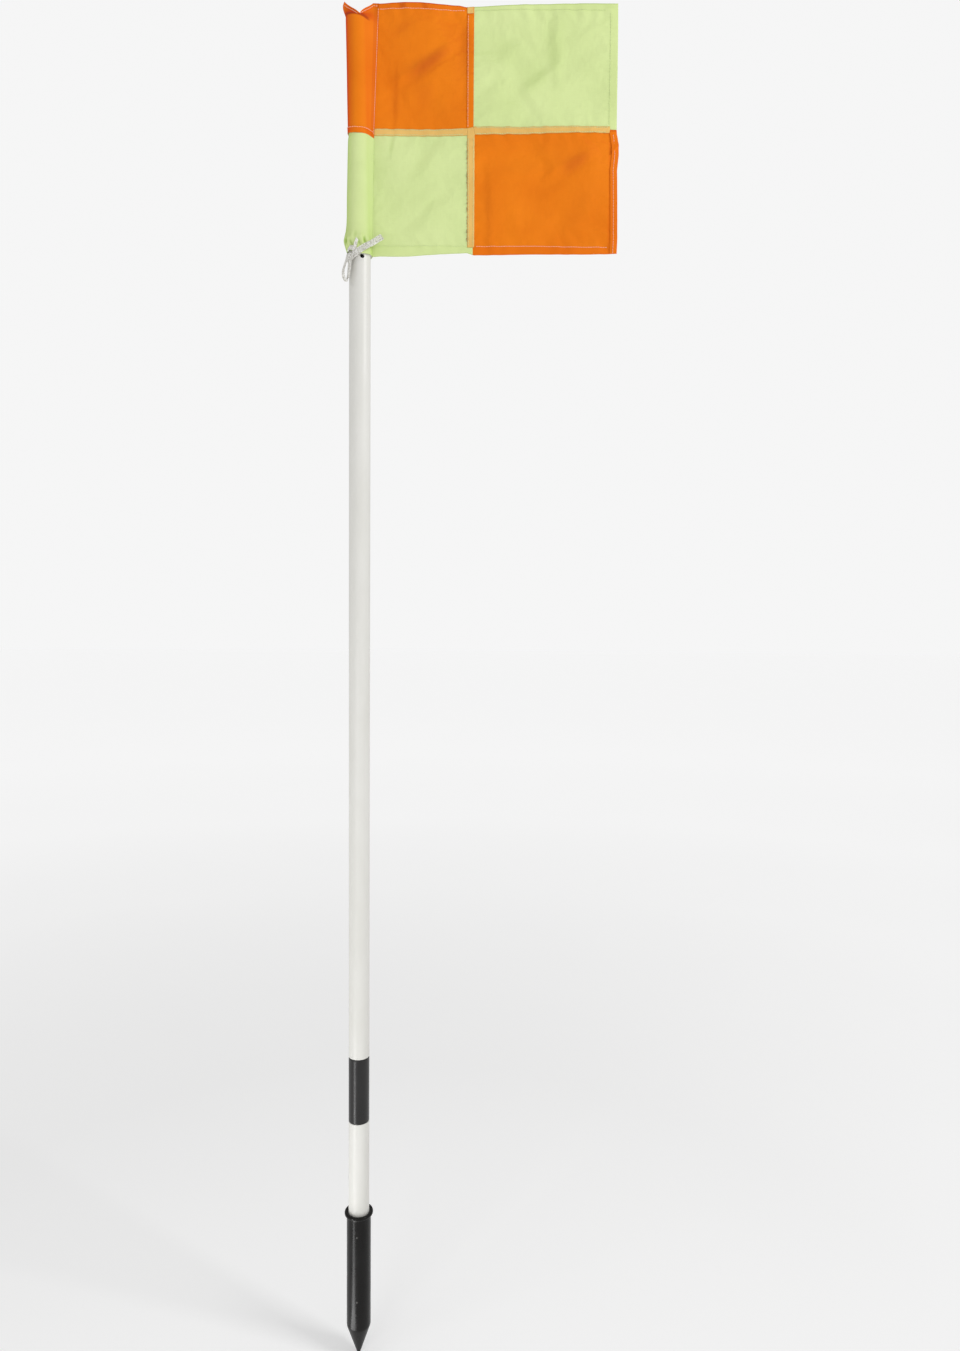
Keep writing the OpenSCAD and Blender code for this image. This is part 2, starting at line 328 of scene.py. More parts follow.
class Paint:
    """A Principled material with a few short ways to add nodes."""

    def __init__(self, name, **settings):
        self.material = bpy.data.materials.new(name)
        self.material.use_nodes = True
        self.tree = self.material.node_tree
        self.shader = self.tree.nodes["Principled BSDF"]
        for key, value in settings.items():
            self.shader.inputs[key.replace("_", " ")].default_value = value

    def add(self, kind, inputs=(), out=0, **settings):
        made = self.tree.nodes.new(kind)
        for key, value in settings.items():
            setattr(made, key, value)
        for key, value in dict(inputs).items():
            if isinstance(value, bpy.types.NodeSocket):
                self.tree.links.new(value, made.inputs[key])
            else:
                made.inputs[key].default_value = value
        return made.outputs[out]

    def math(self, operation, a, b=0.0):
        return self.add("ShaderNodeMath", {0: a, 1: b}, operation=operation)

    def place(self, scale, uv=False):
        """Object or UV coordinates, stretched by scale."""
        at = self.add("ShaderNodeTexCoord", out=2 if uv else 3)
        return self.add("ShaderNodeMapping", {"Vector": at, "Scale": scale})

    def noise(self, at, scale, detail=3.0, rough=0.5):
        inputs = {"Vector": at, "Scale": scale, "Detail": detail, "Roughness": rough}
        return self.add("ShaderNodeTexNoise", inputs)

    def spread(self, value, low, high, to_low=0.0, to_high=1.0):
        inputs = {0: value, 1: low, 2: high, 3: to_low, 4: to_high}
        return self.add("ShaderNodeMapRange", inputs)

    def mix(self, amount, a, b, blend="MIX"):
        inputs = {0: amount, 6: a, 7: b}
        return self.add("ShaderNodeMix", inputs, out=2, data_type="RGBA", blend_type=blend)

    def bump(self, height, strength, distance, normal=None):
        inputs = {"Height": height, "Strength": strength, "Distance": distance}
        if normal is not None:
            inputs["Normal"] = normal
        return self.add("ShaderNodeBump", inputs)

    def attribute(self, name):
        return self.add("ShaderNodeAttribute", out=2, attribute_name=name)

    def wire(self, **inputs):
        for key, value in inputs.items():
            self.tree.links.new(value, self.shader.inputs[key.replace("_", " ")])
        return self.material


def cloth_paint(name, colour, deep, slant_shade_colour, doubled_tint, creased):
    """Thin plain-woven polyester: threads both ways, deeper where doubled; painted shade where it is seen
    at a slant and in its creases.
    """
    paint = Paint(name, Roughness=0.8, Specular_IOR_Level=0.15)
    cut = paint.place((1, 1, 1), uv=True)
    warp = paint.add("ShaderNodeTexWave", {"Vector": cut, "Scale": 520}, out=1, bands_direction="X")
    weft = paint.add("ShaderNodeTexWave", {"Vector": cut, "Scale": 520}, out=1, bands_direction="Y")
    weave = paint.math("MULTIPLY", warp, weft)
    slub_x = paint.noise(paint.place((1600, 60, 1), uv=True), 1, 2)
    slub_y = paint.noise(paint.place((60, 1600, 1), uv=True), 1, 2)
    slub = paint.math("ADD", slub_x, slub_y)
    cloud = paint.noise(cut, 14, 3)
    tint = paint.mix(paint.spread(cloud, 0.35, 0.7), srgb(*colour), srgb(*deep))
    facing = paint.add("ShaderNodeLayerWeight", {"Blend": 0.5}, out=1)
    # painted shade: the colour turns deeper as the cloth is seen more at a slant
    tint = paint.mix(paint.spread(facing, 0.2, 0.85), tint, srgb(*slant_shade_colour))
    # painted shade in creases and pleats, read from the crease attribute
    tint = paint.mix(paint.attribute("crease"), tint, srgb(*creased))
    threads = paint.spread(slub, 0.7, 1.3, 0.978, 1.018)
    grey = paint.add("ShaderNodeCombineColor", {0: threads, 1: threads, 2: threads})
    shaded = paint.mix(1.0, tint, grey, "MULTIPLY")
    doubled = paint.mix(paint.attribute("doubled"), (1, 1, 1, 1), (*doubled_tint, 1))
    shaded = paint.mix(1.0, shaded, doubled, "MULTIPLY")
    height = paint.math("ADD", weave, paint.math("MULTIPLY", slub, 0.3))
    fine = paint.bump(height, 0.3, 0.00008)
    wrinkle = paint.noise(paint.place((1, 0.6, 1), uv=True), 24, 2, 0.4)
    soft = paint.bump(wrinkle, 0.14, 0.0016, fine)
    rough = paint.spread(cloud, 0.3, 0.7, 0.72, 0.86)
    return paint.wire(Base_Color=shaded, Normal=soft, Roughness=rough)


def tube_paint():
    """White rigid PVC: faint draw lines along it, light scuffs and dust."""
    paint = Paint("tube_pvc", Roughness=0.36, Specular_IOR_Level=0.42)
    drawn = paint.noise(paint.place((420, 420, 3)), 1, 3)
    mottle = paint.noise(paint.place((1, 1, 0.35)), 38, 3)
    scuff = paint.noise(paint.place((90, 90, 900)), 1, 5, 0.7)
    base = paint.mix(paint.spread(mottle, 0.35, 0.7), srgb(223, 222, 217), srgb(218, 217, 211))
    marks = paint.spread(scuff, 0.66, 0.8, 0.0, 0.25)
    dusty = paint.mix(marks, base, srgb(186, 184, 176))
    height = paint.math("ADD", drawn, paint.math("MULTIPLY", scuff, 0.3))
    rough = paint.spread(paint.noise(paint.place((60, 60, 12)), 1, 4), 0.3, 0.7, 0.30, 0.46)
    return paint.wire(Base_Color=dusty, Normal=paint.bump(height, 0.12, 0.0002), Roughness=rough)


def moulded_paint(name, colour, worn, roughness, grain, depth, shine=0.18):
    """Black moulded plastic or rubber: fine grain, matt patches and pale rubbed marks."""
    paint = Paint(name, Roughness=roughness, Specular_IOR_Level=shine)
    grainy = paint.noise(paint.place((1, 1, 1)), grain, 3)
    patch = paint.noise(paint.place((1, 1, 0.5)), 60, 4)
    rubbed = paint.noise(paint.place((220, 220, 40)), 1, 5, 0.65)
    base = paint.mix(paint.spread(patch, 0.35, 0.7), srgb(*colour), srgb(*worn))
    marked = paint.mix(paint.spread(rubbed, 0.64, 0.8, 0.0, 0.18), base, srgb(92, 90, 86))
    rough = paint.spread(patch, 0.3, 0.7, roughness - 0.05, roughness + 0.1)
    height = paint.math("ADD", grainy, paint.math("MULTIPLY", rubbed, 0.5))
    return paint.wire(Base_Color=marked, Normal=paint.bump(height, 0.3, depth), Roughness=rough)


def metal_paint():
    """Bright spring steel, drawn and slightly streaked."""
    paint = Paint("spring_steel", Metallic=1.0, Roughness=0.3)
    streak = paint.noise(paint.place((800, 800, 800)), 1, 3)
    base = paint.mix(paint.spread(streak, 0.35, 0.65), srgb(150, 150, 152), srgb(116, 114, 112))
    rough = paint.spread(streak, 0.3, 0.7, 0.24, 0.42)
    return paint.wire(Base_Color=base, Roughness=rough, Normal=paint.bump(streak, 0.2, 0.0001))


def yarn_paint(name, colour, deep, grain):
    """Spun yarn: twisted fibres, matt, slightly uneven in tone; on the tape its darker speckle is partly
    that tone and partly painted shade for the gaps between the yarns.
    """
    paint = Paint(name, Roughness=0.85, Sheen_Weight=0.2)
    fibre = paint.noise(paint.place((1, 1, 1)), grain, 4, 0.7)
    tone = paint.noise(paint.place((1, 1, 1)), 700, 2)
    base = paint.mix(paint.spread(tone, 0.4, 0.68), srgb(*colour), srgb(*deep))
    return paint.wire(Base_Color=base, Normal=paint.bump(fibre, 0.6, 0.0002))


PVC = tube_paint()
SPIKE = moulded_paint("spike_plastic", (14, 13, 12), (20, 19, 18), 0.27, 900, 0.00006)
RIVET = moulded_paint("rivet_plastic", (52, 50, 47), (66, 64, 60), 0.4, 1200, 0.0001, 0.4)
RUBBER = moulded_paint("joint_rubber", (18, 17, 17), (25, 24, 24), 0.28, 1400, 0.00006, 0.42)
NYLON = moulded_paint("plug_nylon", (70, 70, 72), (82, 82, 82), 0.5, 700, 0.0001)
STEEL = metal_paint()
# each cloth's colours: its own, a deeper random tone, the painted shade where seen at a slant, the tint
# where doubled, and the painted shade in creases
CLOTH_ORANGE = cloth_paint(
    "cloth_orange", (238, 128, 14), (229, 118, 13), (206, 54, 0), (0.97, 0.85, 0.75), (168, 56, 14)
)
CLOTH_LIME = cloth_paint(
    "cloth_lime", (214, 229, 161), (205, 221, 152), (184, 207, 122), (0.98, 0.988, 0.95), (146, 178, 78)
)
CLOTH_OVERLAP = cloth_paint(
    "cloth_overlap", (235, 192, 112), (223, 178, 100), (210, 158, 78), (1, 1, 1), (186, 134, 58)
)
CLOTHS = {"cloth_orange": CLOTH_ORANGE, "cloth_lime": CLOTH_LIME, "cloth_overlap": CLOTH_OVERLAP}
# the tape's deep colour is a fine speckle: partly uneven yarn tone, partly painted shade for the gaps
# between its yarns
TAPE = yarn_paint("tie_tape", (252, 251, 247), (184, 181, 168), 5000)
THREAD = yarn_paint("thread_pale", (255, 205, 178), (250, 190, 160), 9000)
THREAD_LIME = yarn_paint("thread_lime", (214, 228, 170), (200, 214, 150), 9000)
THREAD_BROWN = yarn_paint("thread_brown", (150, 96, 40), (104, 70, 32), 9000)

# ---------------------------------------------------------------- tie tape, with its cords

TUBE_R = 13.35
TUBE_WALL = 2.0
TAPE_W = 7.6
TAPE_T = 1.15
YARNS = 9
BRAID_PITCH = 15.0
YARN_R = 0.36


def flat_braid(soup, line, across, width=TAPE_W, closed=False):
    """Lays a flat open braid along a line; across points to the tape's edge at each point."""
    line, across = np.asarray(line, float), np.asarray(across, float)
    along = run_length(np.vstack([line, line[:1]]) if closed else line)
    pitch = BRAID_PITCH
    if closed:
        pitch = along[-1] / max(1, round(along[-1] / pitch))
        along = along[:-1]
    ahead = unit(np.roll(line, -1, 0) - np.roll(line, 1, 0)) if closed else unit(np.gradient(line, axis=0))
    across = unit(across - (across * ahead).sum(1, keepdims=True) * ahead)
    over = np.cross(ahead, across)
    half = np.broadcast_to(width, len(line)) / 2 - YARN_R
    for k in range(YARNS):
        phase = along / pitch + k / YARNS
        swing = np.arcsin(0.985 * np.sin(math.tau * (phase + 0.25))) / np.arcsin(0.985)
        lift = np.cos(math.tau * YARNS * phase) * np.clip(3 * np.sin(math.tau * phase), -1, 1)
        lift = lift * (TAPE_T / 2 - YARN_R * 0.75)
        yarn = line + (half * -swing)[:, None] * across + lift[:, None] * over
        soup.add_tube(yarn, YARN_R, 6, closed)


def turned(line, pairs):
    """The tape's edge direction along a line, from (share of the length, direction) pairs."""
    at, aims = zip(*pairs)
    return unit(sample(np.array(aims, float), np.linspace(0, 1, len(line)), at))


YARN_STEP = 0.34

LOOP_ROUTE = [
    (-11.2, -14.4, 1221), (-13.6, -14.6, 1214.5), (-17.2, -14.2, 1206), (-18.9, -13.8, 1198),
    (-17.4, -14.2, 1191.6), (-14.4, -15, 1189.2), (-12.3, -15.8, 1193), (-11.2, -16.4, 1201),
    (-10.2, -17, 1210), (-8.2, -17.6, 1220.6),
]
LONG_TAIL_ROUTE = [
    (-11.4, -14.2, 1215.6), (-7.4, -17.0, 1217.4), (-3.0, -18.4, 1220.4), (3, -18.8, 1224.6),
    (10, -16.4, 1230.0), (17, -12.4, 1235.4), (23, -9.6, 1240.4), (28.2, -7.8, 1244.6),
]
SHORT_TAIL_ROUTE = [(-4.8, -18, 1223.5), (-3.7, -18.9, 1228), (-2.6, -19.3, 1232), (-1.0, -19.4, 1237)]


def make_tape(name, route, edge, width=TAPE_W, fray=False):
    """One free stretch of the tape; a cut end frays into fine fibres."""
    line = spline(route, YARN_STEP)
    soup = Soup()
    flat_braid(soup, line, turned(line, edge), width)
    if fray:
        ahead = unit(line[-1] - line[-4])
        side = turned(line, edge)[-1]
        for share in np.linspace(-0.42, 0.42, 13):
            root = line[-1] + side * share * TAPE_W - ahead * 0.6
            out = ahead * random.uniform(0.8, 2.0) + side * random.uniform(-0.4, 0.4)
            soup.add_tube(np.linspace(root, root + out, 3), (0.16, 0.12, 0.05), 4)
    return soup.build(name, TAPE), line


# the tape's edge direction at shares of the way along each route
LOOP_EDGE = [
    (0, (0.8, -0.3, 0.3)), (0.2, (0.55, -0.8, 0)), (0.5, (0.5, -0.86, 0)), (0.8, (0.6, -0.75, 0)),
    (1, (0.9, -0.3, 0)),
]
LONG_TAIL_EDGE = [(0, (-0.6, 0.25, 0.8)), (0.3, (-0.62, -0.1, 0.78)), (1, (-0.62, -0.15, 0.78))]
SHORT_TAIL_EDGE = [(0, (0.5, 0.8, 0)), (1, (0.32, 0.94, -0.1))]

loop, loop_line = make_tape("tie_loop_tape", LOOP_ROUTE, LOOP_EDGE)
long_tail, long_line = make_tape("tie_tail_long_tape", LONG_TAIL_ROUTE, LONG_TAIL_EDGE, fray=True)
short_tail, _ = make_tape("tie_tail_short_tape", SHORT_TAIL_ROUTE, SHORT_TAIL_EDGE, 6.4, fray=True)

# each band of the knot: its points, the direction of its edge at both ends, and its width
UPRIGHT_BAND = [
    (-4.6, -13.9, 1219.6), (-4.4, -16.4, 1219), (-4.5, -17.7, 1224), (-4.8, -16.4, 1229),
    (-5, -14.2, 1228.6),
]
LOW_BAND = [(-13.2, -11.2, 1216.4), (-11, -14.8, 1216.2), (-7.2, -16.2, 1217.4)]
HIGH_BAND = [
    (-13.6, -10.6, 1226), (-10.4, -15.2, 1228), (-6.4, -17.4, 1226.6), (-2.4, -17.4, 1222),
    (-0.4, -15.6, 1218.2),
]
KNOT_BANDS = [
    (UPRIGHT_BAND, (1, 0, 0), (0.97, -0.1, 0.1), 5.6),
    (LOW_BAND, (-0.2, 0.3, 0.95), (-0.5, 0.1, 0.86), 6.6),
    (HIGH_BAND, (0.2, -0.1, 0.95), (0.5, 0.2, 0.86), 5.6),
]
WRAP_Z = 1224.6


def make_wrap():
    """The tape's turn round the tube and the half bow's crossing bands."""
    soup = Soup()
    turn = np.arange(0, math.tau, YARN_STEP / (TUBE_R + TAPE_T))
    ring = polar(TUBE_R + TAPE_T / 2 + 0.15, turn, WRAP_Z + 1.6 * np.cos(turn - 0.2))
    flat_braid(soup, ring, np.tile([0, 0, 1.0], (len(ring), 1)), 5.4, closed=True)
    for points, first, last, width in KNOT_BANDS:
        band = spline(points, YARN_STEP)
        flat_braid(soup, band, turned(band, [(0, first), (1, last)]), width)
    return soup.build("tie_wrap_and_knot_tape", TAPE)


wrap = make_wrap()

attach(wrap, "tie_tape", "post", "tie_wrap", "tie_knot")
attach(loop, "tie_tape", "post", "tie_loop")
attach(short_tail, "tie_tape", "post", "tie_tail_short")
TAIL_HINGE = ("post", "flag_inner", (0.008, 0, 1.236), (0.024, 0, 1.236))
attach_across(long_tail, "tie_tape", TAIL_HINGE, "tie_tail_long")


# ---------------------------------------------------------------- tube, spike and joint

POST_TOP = 1500.0
JOINT_LOW, JOINT_HIGH = 124.0, 209.0
SOCKET_LOW = -125.0
HOLE_Z, HOLE_R = 1219.5, 2.6
HOLE_TURN = math.radians(20 - 90)

CHAMFER = 0.35
PATCH = HOLE_R * 2.1
CELLS = 8
GAP_COLS = 32
SIDE_COLS = CELLS + 1 + GAP_COLS
ROWS_BELOW_HOLE = 23
# rings that round the square gap in the wall into the hole: share, size past the hole, sink into the wall
HOLE_RINGS = ((0.55, 1.5, 0), (0.8, 0.75, 0), (1, 0.42, 0), (1, 0.1, 0.22), (1, 0, 0.6))


def tube_angles():
    """Columns of the tube's wall: close together beside each side's hole, even between them."""
    half = math.asin(PATCH / TUBE_R)
    angles = []
    for centre in (HOLE_TURN, HOLE_TURN + math.pi):
        angles += list(centre + np.linspace(-half, half, CELLS + 1))
        angles += list(np.linspace(centre + half, centre + math.pi - half, GAP_COLS + 2)[1:-1])
    return np.array(angles)


def open_hole(soup, start, angles, levels, radius, side, outside):
    """Rounds the square gap left in one wall into a hole; returns the points of the hole's edge."""
    row, col = ROWS_BELOW_HOLE, side * SIDE_COLS
    corners = [(row, col + i) for i in range(CELLS)]
    corners += [(row + i, col + CELLS) for i in range(CELLS)]
    corners += [(row + CELLS, col + CELLS - i) for i in range(CELLS)]
    corners += [(row + CELLS - i, col) for i in range(CELLS)]
    centre = HOLE_TURN + side * math.pi
    p = np.array([radius * math.sin(angles[c] - centre) for _, c in corners])
    q = np.array([levels[r] - HOLE_Z for r, _ in corners])
    direction = np.arctan2(q, p)
    previous = [start + r * len(angles) + c for r, c in corners]
    for share, wider, sink in HOLE_RINGS:
        size = HOLE_R + wider
        pm = p + (size * np.cos(direction) - p) * share
        qm = q + (size * np.sin(direction) - q) * share
        depth = radius - sink if outside else radius + sink
        ring = soup.add_ring(polar(depth, np.arcsin(pm / depth) + centre, HOLE_Z + qm))
        soup.bridge(previous, ring, not outside)
        previous = ring
    return previous


def pvc_tube(name, low, high, pierced):
    """A tube with chamfered ends and, if pierced, the tie hole, as clean quads."""
    angles = tube_angles()
    levels = np.linspace(low, high, 16)
    if pierced:
        below = np.linspace(low, HOLE_Z - PATCH, ROWS_BELOW_HOLE + 1)
        beside = np.linspace(HOLE_Z - PATCH, HOLE_Z + PATCH, CELLS + 1)[1:-1]
        levels = np.concatenate([below, beside, np.linspace(HOLE_Z + PATCH, high, 12)])
    rows, cols = len(levels), len(angles)
    walls = levels.copy()
    walls[[0, -1]] += CHAMFER, -CHAMFER
    soup = Soup()
    ends, holes = [], []
    for radius, outside in ((TUBE_R, True), (TUBE_R - TUBE_WALL, False)):
        faces = grid_faces(rows, cols, wrap_cols=True, flip=not outside)
        if pierced:
            first = faces[:, 0 if outside else 3]
            row = first // cols - ROWS_BELOW_HOLE
            gap = (row >= 0) & (row < CELLS) & (first % cols % SIDE_COLS < CELLS)
            faces = faces[~gap]
        start = soup.count
        soup.add(polar(radius, angles, walls[:, None]), faces)
        ends.append([list(range(first, first + cols)) for first in (start, start + (rows - 1) * cols)])
        if pierced:
            holes.append([open_hole(soup, start, angles, levels, radius, side, outside) for side in (0, 1)])
    for outer, inner in zip(*holes):
        soup.bridge(outer, inner)
    for end, height in enumerate((low, high)):
        rings = [ends[0][end]]
        for radius in (TUBE_R - CHAMFER, TUBE_R - TUBE_WALL + CHAMFER):
            rings.append(soup.add_ring(polar(radius, angles, height)))
        rings.append(ends[1][end])
        for a, b in zip(rings, rings[1:]):
            soup.bridge(a, b, end == 0)
    made = soup.build(name, PVC)
    made.data.set_sharp_from_angle(angle=math.radians(25))
    return made


attach(pvc_tube("lower_tube_pvc", SOCKET_LOW, JOINT_LOW, False), "tube_plastic", "base", "lower_tube")
attach(pvc_tube("upper_tube_pvc", JOINT_HIGH, POST_TOP, True), "tube_plastic", "post", "upper_tube")

SPIKE_R, COLLAR_R, COLLAR_H = 15.6, 18.4, 4.0
SPIKE_STRAIGHT, SPIKE_TIP = -148.0, -188.0
TIP_R = 1.6


def make_spike():
    """Moulded spike: rounded collar, socket for the tube, long straight part and a cone tip."""
    lip = TUBE_R + 0.08
    outline = [
        (0.01, SPIKE_TIP, 0),
        (TIP_R, SPIKE_TIP, 0.9),
        (SPIKE_R, SPIKE_STRAIGHT, 2.2),
        (SPIKE_R, -2.2, 0.8),
        (SPIKE_R + 0.5, 0.0, 0.35),
        (COLLAR_R, 0.0, 1.2),
        (COLLAR_R, COLLAR_H, 1.9),
        (lip + 1.5, COLLAR_H, 1.1),
        (lip, COLLAR_H - 1.6, 0.4),
        (lip, SOCKET_LOW - 0.1, 0),
        (0.01, SOCKET_LOW - 0.1, 0),
    ]
    attach(lathe("ground_spike_moulding", outline, SPIKE), "spike_plastic", "base", "ground_spike")


make_spike()

RIVET_HEIGHTS = (-23.0, -109.0)
# a rivet's head from its middle outwards: radius, and depth below its highest point
RIVET_HEAD = ((0.001, 0.02), (0.5, 0.03), (0.95, 0.1), (1.28, 0.2), (1.55, 0.42), (1.6, 0.7), (1.6, 3.0))
RIVET_PROUD = 0.12


def make_rivets():
    """Two plain pins through spike and tube, each with a shallow domed head at both ends."""
    soup = Soup()
    radius, depth = np.array(RIVET_HEAD).T[:, :, None]
    turn = around(24)
    for z in RIVET_HEIGHTS:
        for facing in (-1, 1):
            x, up = radius * np.cos(turn), z - facing * radius * np.sin(turn)
            y = facing * (SPIKE_R + RIVET_PROUD - depth) + 0 * turn
            soup.add_grid(np.stack([x, y, up], axis=2), wrap_cols=True)
    attach(soup.build("spike_rivets", RIVET), "spike_plastic", "base", "spike_pins")


make_rivets()

SPRING_R, SPRING_WIRE_R, SPRING_TURNS = 7.4, 1.1, 16
SPRING_LOW, SPRING_HIGH = 126.2, 206.8
RUBBER_R, RUBBER_BORE = 13.3, 9.1


def rubber_half(name, start, end):
    """Half of the moulded rubber sleeve, with a fine moulded edge where it meets the tube."""
    z = np.linspace(start, end, 22)
    edges = np.exp(-(((z - JOINT_LOW) / 0.7) ** 2)) + np.exp(-(((z - JOINT_HIGH) / 0.7) ** 2))
    outline = list(zip(RUBBER_R - 0.55 * edges, z))
    if start == JOINT_LOW:
        outline[1:1] = [(RUBBER_R - 0.12, start + 0.8), (RUBBER_R, start + 1.5)]
    else:
        outline[-1:-1] = [(RUBBER_R, end - 1.5), (RUBBER_R - 0.12, end - 0.8)]
    outer = turned_grid(np.array(outline))
    inner = turned_grid(np.array([(RUBBER_BORE, h) for h in z[::-1]]))
    soup = Soup()
    soup.add_grid(outer, wrap_cols=True)
    soup.add_grid(inner, wrap_cols=True)
    if start == JOINT_LOW:
        soup.add_grid(np.array([outer[0], inner[-1]]), wrap_cols=True, flip=True)
    if end == JOINT_HIGH:
        soup.add_grid(np.array([outer[-1], inner[0]]), wrap_cols=True)
    return soup.build(name, RUBBER)


def spring_half(name, start, end):
    """Half of the coiled return spring."""
    z = np.linspace(max(start, SPRING_LOW), min(end, SPRING_HIGH), 200)
    turn = (z - SPRING_LOW) / (SPRING_HIGH - SPRING_LOW) * SPRING_TURNS * math.tau
    soup = Soup()
    soup.add_tube(polar(SPRING_R, turn, z), SPRING_WIRE_R, 10)
    return soup.build(name, STEEL)


JOINT_MIDDLE = (JOINT_LOW + JOINT_HIGH) / 2
# each half bends across one of the joint's two hinges
HALVES = (
    ("lower", JOINT_LOW, JOINT_MIDDLE, "base", "joint_core"),
    ("upper", JOINT_MIDDLE, JOINT_HIGH, "joint_core", "post"),
)
for make_half, node, finish in (
    (rubber_half, "rubber_sleeve", "joint_rubber"),
    (spring_half, "return_spring", "spring_steel"),
):
    for which, start, end, below, above in HALVES:
        half = make_half(f"{node}_{which}_half", start, end)
        attach_across(half, finish, (below, above, (0, 0, start * MM), (0, 0, end * MM)), node)

for hidden in ("lower_plug", "upper_plug"):
    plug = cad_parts[hidden]
    plug.data.materials.clear()
    plug.data.materials.append(NYLON)


def make_cap():
    """Blunt moulded cap pushed into the tube's upper end."""
    plug_r = TUBE_R - TUBE_WALL - 0.05
    outline = [
        (0.01, POST_TOP - 16, 0),
        (plug_r, POST_TOP - 16, 1),
        (plug_r, POST_TOP, 0),
        (TUBE_R, POST_TOP, 0.2),
        (TUBE_R, POST_TOP + 1.6, 1.4),
        (TUBE_R - 3.4, POST_TOP + 3.7, 1.2),
        (0.01, POST_TOP + 4, 0),
    ]
    attach(lathe("top_cap_moulding", outline, NYLON), "plug_nylon", "post", "top_cap")


make_cap()

# ---------------------------------------------------------------- flag cloth

CROSS_Z = 1375.0

# the flat flag's outline: the sleeve's seam and the fly edge by height, the top and bottom by distance
seam_x = curve((1222, 15.0), (1250, 15.5), (1369, 17.2), (1530, 23.2))
fly_x = curve(
    (1226, 319.4), (1246, 320), (1330, 318.6), (1349, 320.6), (1361, 320.4), (1376, 317.9), (1530, 317.4)
)
top_z = curve(
    (14, 1528.6), (49, 1529.3), (77, 1529.8), (104, 1528.8), (122, 1528.1),
    (131, 1526.4), (142, 1526.6), (182, 1527.6), (279, 1530.3), (320, 1530.4),
)
bottom_z = curve(
    (13, 1222.8), (25, 1223.9), (60, 1224.2), (133, 1229), (142, 1226.4), (224, 1227.2), (320, 1229)
)


def follow(edge, gap):
    """A line that follows an edge of the cloth at a distance."""
    return lambda place: edge(place) + gap


def shares(x, z):
    """(x, z) on the flat flag as shares of its width and height."""
    s = (x - seam_x(z)) / (fly_x(z) - seam_x(z))
    t = (z - bottom_z(x)) / (top_z(x) - bottom_z(x))
    return s, t


def beside_line(x, z, start, end):
    """Share of the way along a line on the flat flag, and the distance to its side."""
    (x0, z0), (x1, z1) = start, end
    length = math.hypot(x1 - x0, z1 - z0)
    ux, uz = (x1 - x0) / length, (z1 - z0) / length
    along = ((x - x0) * ux + (z - z0) * uz) / length
    return along, (x - x0) * uz - (z - z0) * ux


# each crease: start, end, rise, width of its steep flank, reach of its far side, how dark the painted shade
# on the flank is
FOLDS = (
    ((106, 1477), (50, 1441), 2.2, 13, 30, 0.5),
    ((88, 1434), (60, 1420), 1.1, 20, 24, 0.14),
    ((42, 1446), (40, 1384), -1.0, 7, 14, 0.13),
    ((58, 1512), (40, 1496), -0.7, 14, 20, 0.1),
    ((124, 1505), (126, 1420), -1.2, 16, 20, 0.16),
    ((246, 1440), (244, 1515), 1.2, 14, 40, 0.12),
    ((208, 1426), (238, 1448), 0.9, 14, 26, 0.14),
    ((170, 1456), (196, 1478), 0.5, 16, 30, 0.07),
    ((282, 1351), (242, 1331), 1.8, 13, 26, 0.34),
    ((165, 1244), (162, 1320), 0.7, 9, 30, 0.09),
    ((270, 1260), (300, 1330), 0.7, 22, 30, 0.05),
    ((62, 1300), (100, 1352), 0.5, 20, 30, 0.05),
    ((39, 1368), (35, 1344), -0.7, 5, 14, 0.16),
    ((70, 1250), (118, 1296), 0.5, 18, 30, 0.05),
)


def fold(x, z, start, end, rise, flank, reach):
    """Height of one crease: a steep flank on one side, then a far side that fades out."""
    along, beside = beside_line(x, z, start, end)
    ends = smooth(1 - np.maximum(0, -along) / 0.35) * smooth(1 - np.maximum(0, along - 1) / 0.35)
    far_side = np.exp(-np.maximum(beside, 0) / reach)
    return rise * np.where(beside < 0, smooth(1 + beside / flank), far_side) * ends


def crease_shade_amount(x, z):
    """How strongly painted shade darkens the cloth at a crease, 0 to 1: a soft wedge, sharpest where the
    crease starts; also painted shade in the pleats under the inner top hem.
    """
    total = 0.0 * x
    for start, end, _, flank, _, dark in FOLDS:
        along, beside = beside_line(x, z, start, end)
        width = flank * (0.45 + 0.4 * np.clip(along, 0, 1))
        across = np.exp(-(((beside + 0.6 * width) / width) ** 2))
        lengthwise = np.exp(-(((along - 0.42) / 0.4) ** 2) ** 1.5)
        total = np.maximum(total, dark * across * lengthwise)
    # painted shade in the pleats just under the inner top hem
    pleat_shade = smooth(pucker_x(0.7 * x, z) - 0.3) * smooth((z - 1521.5) / 1.5) * (x < 128)
    return np.maximum(total, 0.4 * pleat_shade)


undulation = wavy(7, 90, 190, 1.3)
ripple = wavy(9, 26, 60, 1.8)


def cloth_height(x, z):
    """How far the flat flag stands forward of its plane."""
    height = 1.1 * undulation(x, z) + 0.1 * ripple(x, z)
    for start, end, rise, flank, reach, _ in FOLDS:
        height = height + fold(x, z, start, end, rise, flank, reach)
    height = height + 0.42 * near(z, 1519) * pucker_x(x, z)
    height = height + 0.34 * near(z, 1237) * pucker_x(x + 31, z)
    height = height + 0.34 * near(z, CROSS_Z) * pucker_x(x + 77, z)
    height = height + 0.34 * near(x, 308) * pucker_z(x, z)
    height = height + 0.30 * near(x, 136) * pucker_z(x, z + 43)
    return height * smooth((x - seam_x(z)) / 22)


def near(place, line, reach=9):
    """1 on a line of the flag, fading to 0 a little way off."""
    return np.exp(-(((place - line) / reach) ** 2))


